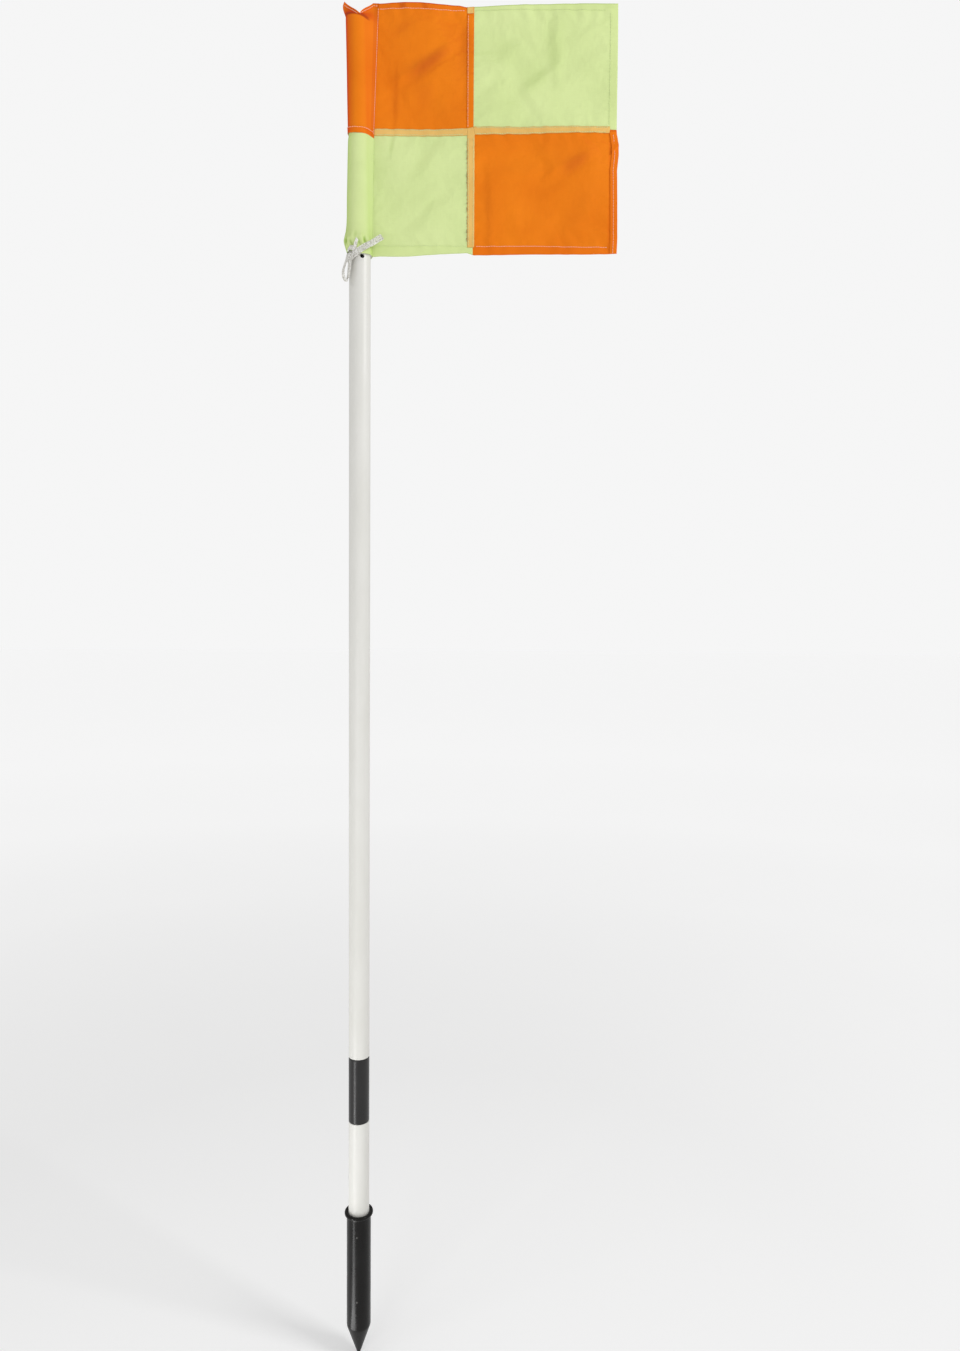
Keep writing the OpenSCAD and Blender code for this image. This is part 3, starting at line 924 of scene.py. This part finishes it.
def ridged(count, shortest, longest):
    """Ripples along one direction only, with soft crests."""
    length = random.uniform(shortest, longest, count)
    phase = random.uniform(0, math.tau, count)

    def field(v):
        total = 0.0
        for wave, shift in zip(length, phase):
            total = total + np.sin(math.tau * v / wave + shift)
        return total / math.sqrt(count)

    return field


ripple_x = ridged(5, 9, 27)
ripple_z = ridged(5, 9, 27)


def pucker_x(x, z):
    """Slanting puckers along a level seam."""
    return ripple_x(x + 0.25 * (z - CROSS_Z))


def pucker_z(x, z):
    """Slanting puckers along an upright seam."""
    return ripple_z(z + 0.2 * x)


GRID = 121
SIM_FRAMES = 26
SEAM_REACH = 2.6


def simulate(rest, pinned):
    """Lets the sewn cloth settle: its stitch lines are held while each quarter has a little ease."""
    rows, cols = rest.shape[:2]
    soup = Soup()
    soup.add_grid(rest)
    obj = soup.build("settling", CLOTH_LIME)
    group = obj.vertex_groups.new(name="held")
    for weight in np.unique(np.round(pinned, 1)):
        if weight > 0:
            members = np.flatnonzero(np.isclose(np.round(pinned.ravel(), 1), weight))
            group.add([int(i) for i in members], float(weight), "REPLACE")
    cloth = obj.modifiers.new("cloth", "CLOTH")
    sim = cloth.settings
    sim.quality = 6
    sim.mass = 0.0004
    sim.tension_stiffness = 12
    sim.compression_stiffness = 12
    sim.shear_stiffness = 4
    sim.bending_model = "ANGULAR"
    sim.bending_stiffness = 2.5
    sim.tension_damping = 8
    sim.compression_damping = 8
    sim.bending_damping = 1
    sim.air_damping = 4
    sim.shrink_min = -0.003
    sim.vertex_group_mass = "held"
    sim.pin_stiffness = 1
    sim.effector_weights.gravity = 0.03
    cloth.collision_settings.use_collision = False
    cloth.point_cache.frame_start = 1
    cloth.point_cache.frame_end = SIM_FRAMES
    scene.frame_start, scene.frame_end = 1, SIM_FRAMES
    for tick in range(1, SIM_FRAMES + 1):
        scene.frame_set(tick)
    depsgraph = bpy.context.evaluated_depsgraph_get()
    settled = obj.evaluated_get(depsgraph)
    points = np.empty(rows * cols * 3)
    settled.data.vertices.foreach_get("co", points)
    points = points.reshape(rows, cols, 3) / MM
    bpy.data.objects.remove(obj)
    scene.frame_set(1)
    return points


def make_flag_grid():
    """The flag's front as a grid of points by share of its width and height."""
    t, s = np.meshgrid(np.linspace(0, 1, GRID), np.linspace(0, 1, GRID), indexing="ij")
    x = 20 + 298 * s
    z = 1226 + 303 * t
    for _ in range(4):
        z = bottom_z(x) + (top_z(x) - bottom_z(x)) * t
        x = seam_x(z) + (fly_x(z) - seam_x(z)) * s
    rest = np.stack([x, -0.4 - cloth_height(x, z), z], axis=2)
    sewn = [z - 1522.4, z - 1236.6, x - 308.3, x - 136, z - CROSS_Z]
    held = np.where(np.abs(sewn).min(axis=0) < SEAM_REACH, 1.0, 0.0)
    outside = (z > 1522) | (z < 1237) | (x > 308) | (x < seam_x(z) + 4)
    held = np.where(outside, 1.0, held)
    return simulate(rest, held)


flag_grid = make_flag_grid()


def interpolate(grid, s, t):
    """Smooth lookup of the settled cloth at shares s across and t up, a little way past its edges too."""
    rows, cols = grid.shape[:2]
    u = np.clip(s, -0.02, 1.02) * (cols - 1)
    v = np.clip(t, -0.02, 1.02) * (rows - 1)
    i = np.clip(np.floor(u).astype(int), 0, cols - 2)
    j = np.clip(np.floor(v).astype(int), 0, rows - 2)
    u, v = u - i, v - j

    def weights(f):
        return (
            (-f + 2 * f**2 - f**3) / 2,
            (2 - 5 * f**2 + 3 * f**3) / 2,
            (f + 4 * f**2 - 3 * f**3) / 2,
            (-(f**2) + f**3) / 2,
        )

    out = 0.0
    for wj, dj in zip(weights(v), (-1, 0, 1, 2)):
        for wi, di in zip(weights(u), (-1, 0, 1, 2)):
            jj = np.clip(j + dj, 0, rows - 1)
            ii = np.clip(i + di, 0, cols - 1)
            out = out + (wi * wj)[..., None] * grid[jj, ii]
    return out


def cloth_at(x, z, lift):
    """Points on the flag's front, raised toward the front by lift, for places on the flat flag."""
    step = 0.6
    point = interpolate(flag_grid, *shares(x, z))
    across = interpolate(flag_grid, *shares(x + step, z)) - point
    upward = interpolate(flag_grid, *shares(x, z + step)) - point
    front = unit(np.cross(across, upward))
    return point + front * np.asarray(lift)[..., None]


CLOTH_T = 0.42
CLOTH_STEP = 1.6

STITCH_TOP = 1522.2
STITCH_LOW = 1236.8
STITCH_FLY = 308.4


def doubled_amount(x, z):
    """1 where a hem's fold lies behind the cloth."""
    top = smooth((z - STITCH_TOP + 0.8) / 1.2)
    low = smooth((STITCH_LOW + 0.8 - z) / 1.2)
    fly = smooth((x - STITCH_FLY + 0.8) / 1.2)
    return np.maximum.reduce([top, low, fly])


def strip_grid(left, right, low, high, step=CLOTH_STEP):
    """Places over a patch of the flat flag; each edge is a function of the other axis."""
    middle_z = 1375.0
    width = abs(right(middle_z) - left(middle_z))
    height = abs(high(200.0) - low(200.0))
    n = max(2, int(width / step) + 1)
    m = max(2, int(height / step) + 1)
    a, b = np.meshgrid(np.linspace(0, 1, n), np.linspace(0, 1, m))
    z = middle_z + 0 * a
    x = 150.0 + 0 * a
    for _ in range(4):
        x = left(z) + (right(z) - left(z)) * a
        z = low(x) + (high(x) - low(x)) * b
    return x, z


def cloth_piece(
    name, material, edges, lift=0.0, thickness=CLOTH_T, step=CLOTH_STEP, waver=0.0, doubled=0.0
):
    """A patch of the flag; lift and doubled are numbers or functions of the place on the flat flag."""
    x, z = strip_grid(*edges, step=step)
    if waver:
        x = x + waver * ripple_z(z * 1.7)
        z = z + waver * ripple_x(x * 1.7)
    raised = lift(x, z) if callable(lift) else np.full(x.shape, lift)
    made = grid_object(name, cloth_at(x, z, raised), material)
    give_uv(made, x, z)
    give_shade(made, "doubled", doubled(x, z) if callable(doubled) else np.full(x.shape, doubled))
    # the crease attribute holds painted shade for the creases
    give_shade(made, "crease", crease_shade_amount(x, z))
    thicken(made, thickness)
    return made


def inner_edge(z):
    """The panels' inner edge, tucked in behind the sleeve's seam."""
    return seam_x(z) - 1.2


# edges of the upright lap by height, and of the level lap by distance
lap_left = curve((1226, 133.6), (1370, 132.8), (1380, 132.2), (1528, 131.8))
lap_right = curve((1226, 142.2), (1372, 142.0), (1380, 140.0), (1528, 139.6))
tan_low = curve((14, 1369.9), (131, 1370.9), (142, 1371.6), (309, 1376.0))
tan_high = curve((14, 1378.5), (131, 1379.4), (142, 1381), (309, 1383.8))


def middle(x):
    """Height of the level seam, in the middle of its lap."""
    return (tan_low(x) + tan_high(x)) / 2


def fly_fold(z):
    """Inner edge of the lower fly hem, which is folded to the front."""
    return fly_x(z) - FLY_HEM_W


def fly_pleat(x, z):
    """The hem's lift, with the small slanting tuck pressed into it."""
    return FLY_LIFT + fold(x, z, (322, 1362), (308, 1347), 1.5, 1.2, 5)


def below_corner(x):
    """The fly hem's end, which hangs just below the bottom hem."""
    return bottom_z(x) - 1.3


FLY_HEM_W = 9.0
FLY_LIFT = 0.55
LAP_LIFT = 0.5
LAP_T = 0.38
HEM_LIFT = -CLOTH_T - 0.12
HEM_T = 0.4
OUTER_LIFT = -0.05
HEM_TOP_LOW = fixed(STITCH_TOP - 1.2)
HEM_LOW_TOP = fixed(STITCH_LOW + 1.2)
HEM_FLY_LEFT = fixed(STITCH_FLY - 1.2)
LAP_END = fixed(1519.0)
outer_edge = fixed(139.2)
inner_end = fixed(140.3)

INNER_PANEL = dict(doubled=doubled_amount)
OUTER_PANEL = dict(lift=OUTER_LIFT, doubled=doubled_amount)
LEVEL_LAP = dict(lift=LAP_LIFT, thickness=LAP_T, step=1.2, waver=0.12)
UPRIGHT_LAP = dict(LEVEL_LAP, waver=0.1)
TOP_SQUARE = dict(LEVEL_LAP, waver=0.0)
BACK_HEM = dict(lift=HEM_LIFT, thickness=HEM_T)
FLY_HEM = dict(lift=fly_pleat, thickness=HEM_T, step=0.8, doubled=1.0)

# where the cloth starts and stops turning: at the sleeve's seam, and at the upright centre seam
SWING = ("post", "flag_inner", (0.0205, 0, 1.377), (0.038, 0, 1.377))
FOLD = ("flag_inner", "flag_outer", (0.1405, 0, 1.377), (0.158, 0, 1.377))

# each piece: name, slot, kind, hinge, its left, right, low and high edges, and the CAD nodes it stands for
FLAG_PIECES = (
    ("panel_inner_upper_orange", "cloth_orange", INNER_PANEL, SWING,
     (inner_edge, inner_end, middle, top_z), "panel_inner_upper"),
    ("panel_inner_lower_lime", "cloth_lime", INNER_PANEL, SWING,
     (inner_edge, inner_end, bottom_z, middle), "panel_inner_lower"),
    ("panel_outer_upper_lime", "cloth_lime", OUTER_PANEL, FOLD,
     (outer_edge, fly_x, middle, top_z), "panel_outer_upper"),
    ("panel_outer_lower_orange", "cloth_orange", OUTER_PANEL, FOLD,
     (outer_edge, fly_x, bottom_z, middle), "panel_outer_lower"),
    ("lap_cross_inner_tan", "cloth_overlap", LEVEL_LAP, SWING,
     (inner_edge, lap_left, tan_low, tan_high), "lap_cross_inner"),
    ("lap_cross_outer_tan", "cloth_overlap", LEVEL_LAP, FOLD,
     (lap_right, fixed(309.2), tan_low, tan_high), "lap_cross_outer"),
    ("lap_centre_upper_orange", "cloth_orange", UPRIGHT_LAP, SWING,
     (lap_left, lap_right, tan_high, LAP_END), "lap_centre_upper"),
    ("lap_centre_lower_tan", "cloth_overlap", UPRIGHT_LAP, SWING,
     (lap_left, lap_right, fixed(1235.5), tan_high), "lap_centre_lower", "centre_seam"),
    ("lap_top_square_tan", "cloth_overlap", TOP_SQUARE, SWING, (lap_left, lap_right, LAP_END, top_z)),
    ("hem_top_inner_fold", "cloth_orange", BACK_HEM, SWING,
     (inner_edge, inner_end, HEM_TOP_LOW, top_z), "hem_top_inner"),
    ("hem_top_outer_fold", "cloth_lime", BACK_HEM, FOLD,
     (outer_edge, fly_x, HEM_TOP_LOW, top_z), "hem_top_outer"),
    ("hem_bottom_inner_fold", "cloth_lime", BACK_HEM, SWING,
     (inner_edge, inner_end, bottom_z, HEM_LOW_TOP), "hem_bottom_inner"),
    ("hem_bottom_outer_fold", "cloth_orange", BACK_HEM, FOLD,
     (outer_edge, fly_x, bottom_z, HEM_LOW_TOP), "hem_bottom_outer"),
    ("hem_fly_upper_fold", "cloth_lime", BACK_HEM, FOLD,
     (HEM_FLY_LEFT, fly_x, middle, HEM_TOP_LOW), "hem_fly_upper"),
    ("hem_fly_lower_fold", "cloth_orange", FLY_HEM, FOLD,
     (fly_fold, fly_x, below_corner, fixed(1377.5)), "hem_fly_lower"),
)
flag = {}
for name, slot, kind, hinge, edges, *nodes in FLAG_PIECES:
    flag[name] = cloth_piece(name, CLOTHS[slot], edges, **kind)
    attach_across(flag[name], slot, hinge, *nodes)

# ---------------------------------------------------------------- sleeve

# the sleeve's reach from the tube's axis by height: on its right, and on its left
sleeve_clear = curve((1229, 15.5), (1238, 14.6), (1252, 13.9))
sleeve_left = curve(
    (1220, 15.3), (1227, 15.5), (1232, 16.1), (1236, 17.6), (1241, 19.0), (1246, 18.2), (1252, 16.8),
    (1260, 15.9), (1270, 15.5), (1293, 15.6), (1340, 15.0), (1372, 14.3), (1420, 15.4), (1480, 16.7),
    (1506, 17.2),
)


def sleeve_section(z, share, extra=0.0):
    """Points at height z, and the way out; share runs from the seam's front by the left to its back."""
    left = sleeve_left(z) + extra
    radius = (left + sleeve_clear(z)) / 2
    centre = radius - left
    reach = np.maximum(seam_x(z) + 0.3 - centre, radius * 1.02)
    corner = np.arccos(radius / reach)
    straight = np.sqrt(reach**2 - radius**2)
    arc = radius * (math.tau - 2 * corner)
    run = share * (2 * straight + arc)
    angle = -corner - np.clip(run - straight, 0, arc) / radius
    to_seam = np.clip(1 - run / straight, 0, 1) + np.clip((run - straight - arc) / straight, 0, 1)
    out = polar(1.0, angle, 0.0)
    point = radius[..., None] * out + np.stack([centre, 0 * z, z], axis=-1)
    seam = np.stack([centre + reach, np.where(share < 0.5, -0.45, 0.45), z], axis=-1)
    return point + (seam - point) * to_seam[..., None], out


sleeve_wobble = wavy(6, 60, 150, 2.5)
gather_phase = random.uniform(0, math.tau, 3)
crumple = wavy(8, 8, 17)


def gather(z, share):
    """The pulled-in folds just above the tie."""
    angle = share * math.tau
    pull = 0.8 * np.cos(7 * angle + gather_phase[0] + (z - 1238) * 0.06)
    pull = pull + 0.7 * np.cos(11 * angle + gather_phase[1] - (z - 1238) * 0.13)
    pull = pull + 0.4 * np.cos(17 * angle + gather_phase[2])
    folded = np.exp(-(((z - 1235) / 8) ** 2)) * pull
    creased = np.exp(-(((z - 1236) / 9) ** 2)) * crumple(share * 105, z)
    return 0.8 * folded + 0.55 * creased


def calm(share):
    """0 at the seam, where the sleeve is sewn flat, and 1 away from it."""
    return np.minimum(smooth(share / 0.12), smooth((1 - share) / 0.12))


def sleeve_relief(z, share):
    """Small folds of the sleeve: slack over its length and a gather above the tie."""
    return (0.28 * sleeve_wobble(share * 100, z) + gather(z, share)) * calm(share)


# heights by share of the way round: the orange sleeve's lower edge, where its top leaves the tube's round
# form, and the lime sleeve's lower edge, which is gathered high on the left
hem_edge_z = curve(
    (0, 1366.6), (0.1, 1367.4), (0.26, 1366.6), (0.36, 1368), (0.5, 1372.4), (0.75, 1370), (1, 1367)
)
rim_z = curve((0, 1502), (0.14, 1503.5), (0.27, 1506.6), (0.38, 1509), (0.5, 1512), (0.75, 1507), (1, 1502))
lime_low_z = curve(
    (0, 1223.6), (0.12, 1222.4), (0.22, 1221.2), (0.30, 1222.6), (0.36, 1226.5),
    (0.5, 1227.6), (0.7, 1226.5), (0.85, 1224), (1, 1223.6),
)
COLUMNS = 168


def sleeve_grid(low, high, step, extra):
    """The sleeve's points between two edges, with extra room inside, and their heights and shares."""
    rows = int((np.max(high(0.5)) - np.min(low(0.5))) / step) + 1
    v, share = np.meshgrid(np.linspace(0, 1, rows), np.linspace(0, 1, COLUMNS), indexing="ij")
    z = low(share) + (high(share) - low(share)) * v
    point, out = sleeve_section(z, share, extra(z, share))
    point = point + out * sleeve_relief(z, share)[..., None]
    return point, z, share


def make_lime_sleeve():
    """The lower sleeve, whose top is tucked in under the upper one."""
    point, z, share = sleeve_grid(
        lime_low_z, follow(hem_edge_z, 6.0), 1.6, lambda z, share: CLOTH_T - 0.5 * smooth((z - 1362) / 5)
    )
    made = grid_object("sleeve_lower_lime", point, CLOTH_LIME, flip=True)
    give_uv(made, share * 100, z)
    give_shade(made, "doubled", smooth((1231 - z) / 2))
    # painted shade in the gathered folds above the tie, where they sink inward
    give_shade(made, "crease", np.clip(-0.95 * gather(z, share) - 0.1, 0, 1) * calm(share))
    thicken(made, CLOTH_T)
    return made


EAR = np.array([-19.6, -0.6, 1531.8])
NOTCH = np.array([0.9, -12.0, 1510.0])
PEAK = np.array([16.2, -0.9, 1528.9])
CORNER = np.array([23.4, -0.45, 1528.9])


def top_edge(share, back):
    """The open top's edge: level at the seam, down to the notch, and up to the ear on the left."""
    front = np.where(share < 0.5, share, 1 - share)[:, None] * 2
    notch = NOTCH + np.array([0.0, 5.0, -0.4]) * back[:, None]
    stretches = (
        (0.0, 0.15, CORNER, PEAK, lambda f: f, lambda f: f),
        (0.15, 0.56, PEAK, notch, smooth, lambda f: f**1.15),
        (0.56, 1.0, notch, EAR, smooth, lambda f: 1 - (1 - f) ** 0.92),
    )
    edge = 0 * notch
    for start, end, a, b, bend_y, bend_z in stretches:
        f = np.clip((front - start) / (end - start), 0, 1)
        edge = np.where(front >= start, a + (b - a) * np.hstack([f, bend_y(f), bend_z(f)]), edge)
    edge[:, 1] += back * 1.6
    return edge


EAR_SHARE = 0.5
NOTCH_SHARE = 0.27
RIM_ROWS = 18
FAR_OFF = 99.0


def make_orange_sleeve():
    """The upper sleeve, with its open top; also its points and their distances from the open edge."""
    point, z, share = sleeve_grid(
        hem_edge_z, rim_z, 1.6,
        lambda z, share: 0.35 + CLOTH_T + 0.4 * smooth((hem_edge_z(share) + 7.4 - z) / 1.0),
    )
    rim = point[-1]
    below = point[-2]
    share_row = share[-1]
    back = smooth((share_row - 0.42) / 0.16)
    edge = top_edge(share_row, back)
    rise = np.linalg.norm(edge - rim, axis=1, keepdims=True)
    leave = unit(rim - below) * rise * 0.9
    arrive = np.stack([0 * back, -0.25 + 0.5 * back, np.full(len(back), 0.9)], axis=1) * rise
    rows = []
    heights = np.linspace(0, 1, RIM_ROWS + 1)[1:]
    for v in heights:
        point_v = (
            rim * (1 - v) ** 2 * (1 + 2 * v)
            + edge * v**2 * (3 - 2 * v)
            + leave * v * (1 - v) ** 2
            + arrive * v**2 * (v - 1)
        )
        bulge, swell = math.sin(math.pi * v) ** 2, math.sin(math.pi * v**1.3)
        point_v[:, 1] += 1.5 * bulge * np.exp(-(((share_row - NOTCH_SHARE) / 0.2) ** 2))
        point_v[:, 0] -= 2.6 * swell * np.exp(-(((share_row - EAR_SHARE) / 0.07) ** 2))
        rows.append(point_v)
    full = np.concatenate([point, np.array(rows)])
    over = heights[:, None] * rise[None, :, 0]
    full_z = np.concatenate([z, rim_z(share_row)[None, :] + over])
    full_share = np.concatenate([share, np.repeat(share_row[None], len(heights), 0)])
    made = grid_object("sleeve_upper_orange", full, CLOTH_ORANGE, flip=True)
    give_uv(made, full_share * 100, full_z)
    to_edge = np.concatenate([np.full(z.shape, FAR_OFF), (1 - heights[:, None]) * rise[None, :, 0]])
    low_hem = smooth((hem_edge_z(full_share) + 6.9 - full_z) / 1.0)
    give_shade(made, "doubled", np.maximum(low_hem, smooth((6.2 - to_edge) / 0.8)))
    # painted shade in the fold where the cloth leaves the tube's rim; the same darker colour, faintly,
    # along the straight strips beside the seam, for the seam's doubled layers
    over_rim = full_z - rim_z(full_share)
    rim_fold_shade = smooth((over_rim + 1.8) / 1.8) * smooth((6.0 - over_rim) / 4.5)
    rim_fold_shade = rim_fold_shade * smooth((full_share - 0.1) / 0.06) * smooth((1.0 - full_share) / 0.1)
    strip = smooth((0.075 - full_share) / 0.02) + smooth((full_share - 0.925) / 0.02)
    give_shade(made, "crease", np.maximum(0.85 * rim_fold_shade, 0.2 * strip))
    thicken(made, CLOTH_T)
    return made, full, to_edge


sleeve_lower = make_lime_sleeve()
sleeve_upper, upper_grid, upper_to_edge = make_orange_sleeve()
attach(sleeve_upper, "cloth_orange", "post", "sleeve_upper", "sleeve_seam")
attach(sleeve_lower, "cloth_lime", "post", "sleeve_lower")

# ---------------------------------------------------------------- stitches

STITCH_L = 2.3
STITCH_GAP = 0.8
THREAD_R = 0.3
TOP_STITCH = 3.0


def sew(soup, line, front):
    """Rows of short raised stitches along a line; front points out of the cloth."""
    along = run_length(line)
    starts = np.arange(STITCH_GAP / 2, along[-1] - STITCH_L, STITCH_L + STITCH_GAP)
    share = np.array([0.0, 0.12, 0.5, 0.88, 1.0])
    lift = np.array([-0.1, 0.12, 0.24, 0.12, -0.1])
    size = np.array([0.55, 1, 1.05, 1, 0.55]) * THREAD_R
    for start in starts:
        at = start + share * STITCH_L
        soup.add_tube(sample(line, at, along) + sample(front, at, along) * lift[:, None], size, 6)


def sew_flag(soup, x, z, front, back):
    """One row of stitches, which shows on the cloth's front and on its back."""
    for lift, facing in ((front, 1.0), (back, -1.0)):
        base = cloth_at(x, z, np.full(x.shape, lift))
        beyond = cloth_at(x, z, np.full(x.shape, lift + facing))
        sew(soup, base, beyond - base)


def level(x0, x1, height):
    """A level row on the flat flag."""
    x = np.arange(x0, x1, 1.0)
    return x, height(x)


def upright(z0, z1, place):
    """An upright row on the flat flag."""
    z = np.arange(z0, z1, 1.0)
    return place(z), z


# how far the cloth's two sides stand forward of its middle at a hem, a lap and the lower fly hem
HEM = (0.0, HEM_LIFT - HEM_T)
LAP = (LAP_LIFT, OUTER_LIFT - CLOTH_T)
FLY = (FLY_LIFT, OUTER_LIFT - CLOTH_T)

# each piece of stitching: name, thread, hinge and CAD node, then its rows
SEAM_ROWS = {
    ("stitches_inner_pale", THREAD, SWING, "stitching_inner"): (
        (level(24, 131, fixed(STITCH_TOP)), HEM),
        (upright(1381, 1518, follow(lap_left, 1.3)), LAP),
    ),
    ("stitches_inner_lime", THREAD_LIME, SWING, "stitching_inner"): (
        (level(20, 133, fixed(STITCH_LOW)), HEM),
        (level(20, 131, follow(tan_high, -1.2)), LAP),
        (level(20, 131, follow(tan_low, 1.2)), LAP),
        (upright(1238, 1370, follow(lap_left, 1.3)), LAP),
        (upright(1238, 1370, follow(lap_right, -1.4)), LAP),
    ),
    ("stitches_outer_pale", THREAD, FOLD, "stitching_outer"): (
        (level(144, 310, fixed(STITCH_LOW)), HEM),
        (upright(1229, 1376, follow(fly_x, -5.0)), FLY),
    ),
    ("stitches_outer_lime", THREAD_LIME, FOLD, "stitching_outer"): (
        (level(142, 306, fixed(STITCH_TOP)), HEM),
        (upright(1386, 1521, fixed(STITCH_FLY)), HEM),
        (level(144, 308, follow(tan_high, -1.2)), LAP),
        (level(144, 308, follow(tan_low, 1.2)), LAP),
    ),
}
for (name, thread, hinge, node), rows in SEAM_ROWS.items():
    stitches = Soup()
    for (x, z), (front, back) in rows:
        sew_flag(stitches, x, z, front, back)
    flag[name] = stitches.build(name, thread)
    attach_across(flag[name], "thread", hinge, node)


def grid_normals(grid):
    """The way out of a grid at each of its points."""
    across = np.gradient(grid, axis=1)
    upward = np.gradient(grid, axis=0)
    return unit(np.cross(across, upward))


def make_sleeve_stitches():
    """The seam that closes the sleeve, the orange sleeve's lower hem and the hem round its top."""
    pale, lime = Soup(), Soup()
    for low, high, soup in ((1371, 1524, pale), (1228, 1368, lime)):
        z = np.arange(low, high, 1.0)
        for facing in (-1.0, 1.0):
            line = np.stack([seam_x(z) - 0.4, np.full(z.shape, 1.15 * facing), z], axis=1)
            sew(soup, line, np.tile([0, facing, 0], (len(z), 1)))
    normals = -grid_normals(upper_grid)
    share = np.arange(3, COLUMNS - 3) / (COLUMNS - 1)
    z = hem_edge_z(share) + 6.6
    ring, out = sleeve_section(z, share, 0.35 + CLOTH_T + 0.4 * smooth(0.8))
    sew(pale, ring + out * (sleeve_relief(z, share)[:, None] + 0.05), out)
    first = upper_grid.shape[0] - RIM_ROWS
    for part in (range(3, COLUMNS // 2 - 2), range(COLUMNS // 2 + 2, COLUMNS - 3)):
        line, front = [], []
        for c in part:
            rows = np.arange(first, upper_grid.shape[0])
            row = np.interp(-TOP_STITCH, -upper_to_edge[first:, c], rows)
            low_row = int(np.clip(row, first, upper_grid.shape[0] - 2))
            f = row - low_row
            line.append(upper_grid[low_row, c] * (1 - f) + upper_grid[low_row + 1, c] * f)
            front.append(normals[low_row, c])
        sew(pale, np.array(line), np.array(front))
    made = pale.build("stitches_sleeve_pale", THREAD)
    made_lime = lime.build("stitches_sleeve_lime", THREAD_LIME)
    attach(made, "thread", "post", "sleeve_stitching")
    attach(made_lime, "thread", "post")
    return made, made_lime


stitches_sleeve, stitches_sleeve_lime = make_sleeve_stitches()


def make_frayed_threads():
    """Loose threads along the raw edge of the orange cloth in the lower centre lap."""
    soup = Soup()
    for z in np.sort(random.uniform(1240, 1368, 96)):
        x = lap_left(z) + random.uniform(-0.3, 0.3)
        root = cloth_at(np.array([x]), np.array([z]), np.array([LAP_LIFT]))[0]
        reach = random.uniform(0.8, 2.0)
        tip = root + np.array([-reach * 0.6, -random.uniform(0.1, 0.5), random.uniform(-1, 1) * reach])
        bend = (root + tip) / 2 + np.array([-0.3, -0.2, random.uniform(-0.4, 0.4)])
        soup.add_tube(spline([root, bend, tip], 0.4), 0.15, 5)
    flag["frayed_threads"] = soup.build("frayed_threads", THREAD_BROWN)
    attach_across(flag["frayed_threads"], "thread", SWING)


make_frayed_threads()

# ---------------------------------------------------------------- stage and light

FLOOR_Z = -0.1885
FLOOR_SIDES = 96
# how far out, and how much the floor glows there, so that it meets the backdrop without a line
FLOOR_GLOW = ((0.001, 0.24), (0.8, 0.25), (1.4, 0.31), (2.2, 0.385), (3.5, 0.455), (6, 0.49), (60, 0.5))


def make_stage():
    """A wide, round, pale floor."""
    paint = Paint("stage", Roughness=0.95, Emission_Color=(1, 1, 1, 1))
    soft = paint.noise(paint.place((1, 1, 1)), 3, 2)
    base = paint.mix(soft, srgb(244, 244, 244), srgb(242, 242, 242))
    material = paint.wire(Base_Color=base, Emission_Strength=paint.attribute("glow"))
    reach, glow = np.array(FLOOR_GLOW).T
    soup = Soup()
    soup.add_grid(polar(reach[:, None], around(FLOOR_SIDES), FLOOR_Z) / MM, wrap_cols=True, flip=True)
    floor = soup.build("stage_floor", material)
    give_shade(floor, "glow", np.repeat(glow, FLOOR_SIDES))


make_stage()


def area_light(name, at, aim, size, power):
    """A rectangular lamp aimed at a place."""
    data = bpy.data.lights.new(name, "AREA")
    data.shape = "RECTANGLE"
    data.size, data.size_y = size
    data.energy = power
    light = bpy.data.objects.new(name, data)
    light.location = at
    light.rotation_euler = (Vector(aim) - Vector(at)).to_track_quat("-Z", "Y").to_euler()
    scene.collection.objects.link(light)
    return light


area_light("key", (1.9, -0.9, 2.2), (0.12, 0, 1.35), (0.7, 0.7), 24.5)
area_light("left", (-0.9, -0.75, 1.85), (0.1, 0, 1.45), (0.5, 0.5), 2.0)
area_light("near_fill", (-0.3, -0.85, 0.42), (0, 0, 0.38), (0.4, 0.5), 1.45).visible_camera = False
GLOW_TURN = math.radians(-41)


def floor_glow(name, away, size, power):
    """A strip light flat on the floor: the line of light along the black parts."""
    at = (away * math.sin(GLOW_TURN), -away * math.cos(GLOW_TURN), FLOOR_Z + 0.004)
    strip = area_light(name, at, (0, 0, 1), size, power)
    strip.rotation_euler = (math.pi, 0, GLOW_TURN)
    strip.visible_camera = False


floor_glow("glow_near", 0.28, (0.05, 0.46), 0.6)
floor_glow("glow_far", 0.76, (0.11, 0.5), 2.2)


def make_world():
    """Even white light from all round; the camera sees it a little brighter, as a pale backdrop."""
    world = bpy.data.worlds.new("world")
    world.use_nodes = True
    tree = world.node_tree
    background = tree.nodes["Background"]
    background.inputs["Color"].default_value = (1, 1, 1, 1)
    path = tree.nodes.new("ShaderNodeLightPath")
    level = tree.nodes.new("ShaderNodeMapRange")
    level.inputs["To Min"].default_value = WORLD_LIGHT
    level.inputs["To Max"].default_value = WORLD_SEEN
    tree.links.new(path.outputs["Is Camera Ray"], level.inputs["Value"])
    tree.links.new(level.outputs["Result"], background.inputs["Strength"])
    scene.world = world


WORLD_LIGHT = 0.46
WORLD_SEEN = 0.92
make_world()
scene.view_settings.view_transform = "Standard"
scene.view_settings.look = "None"
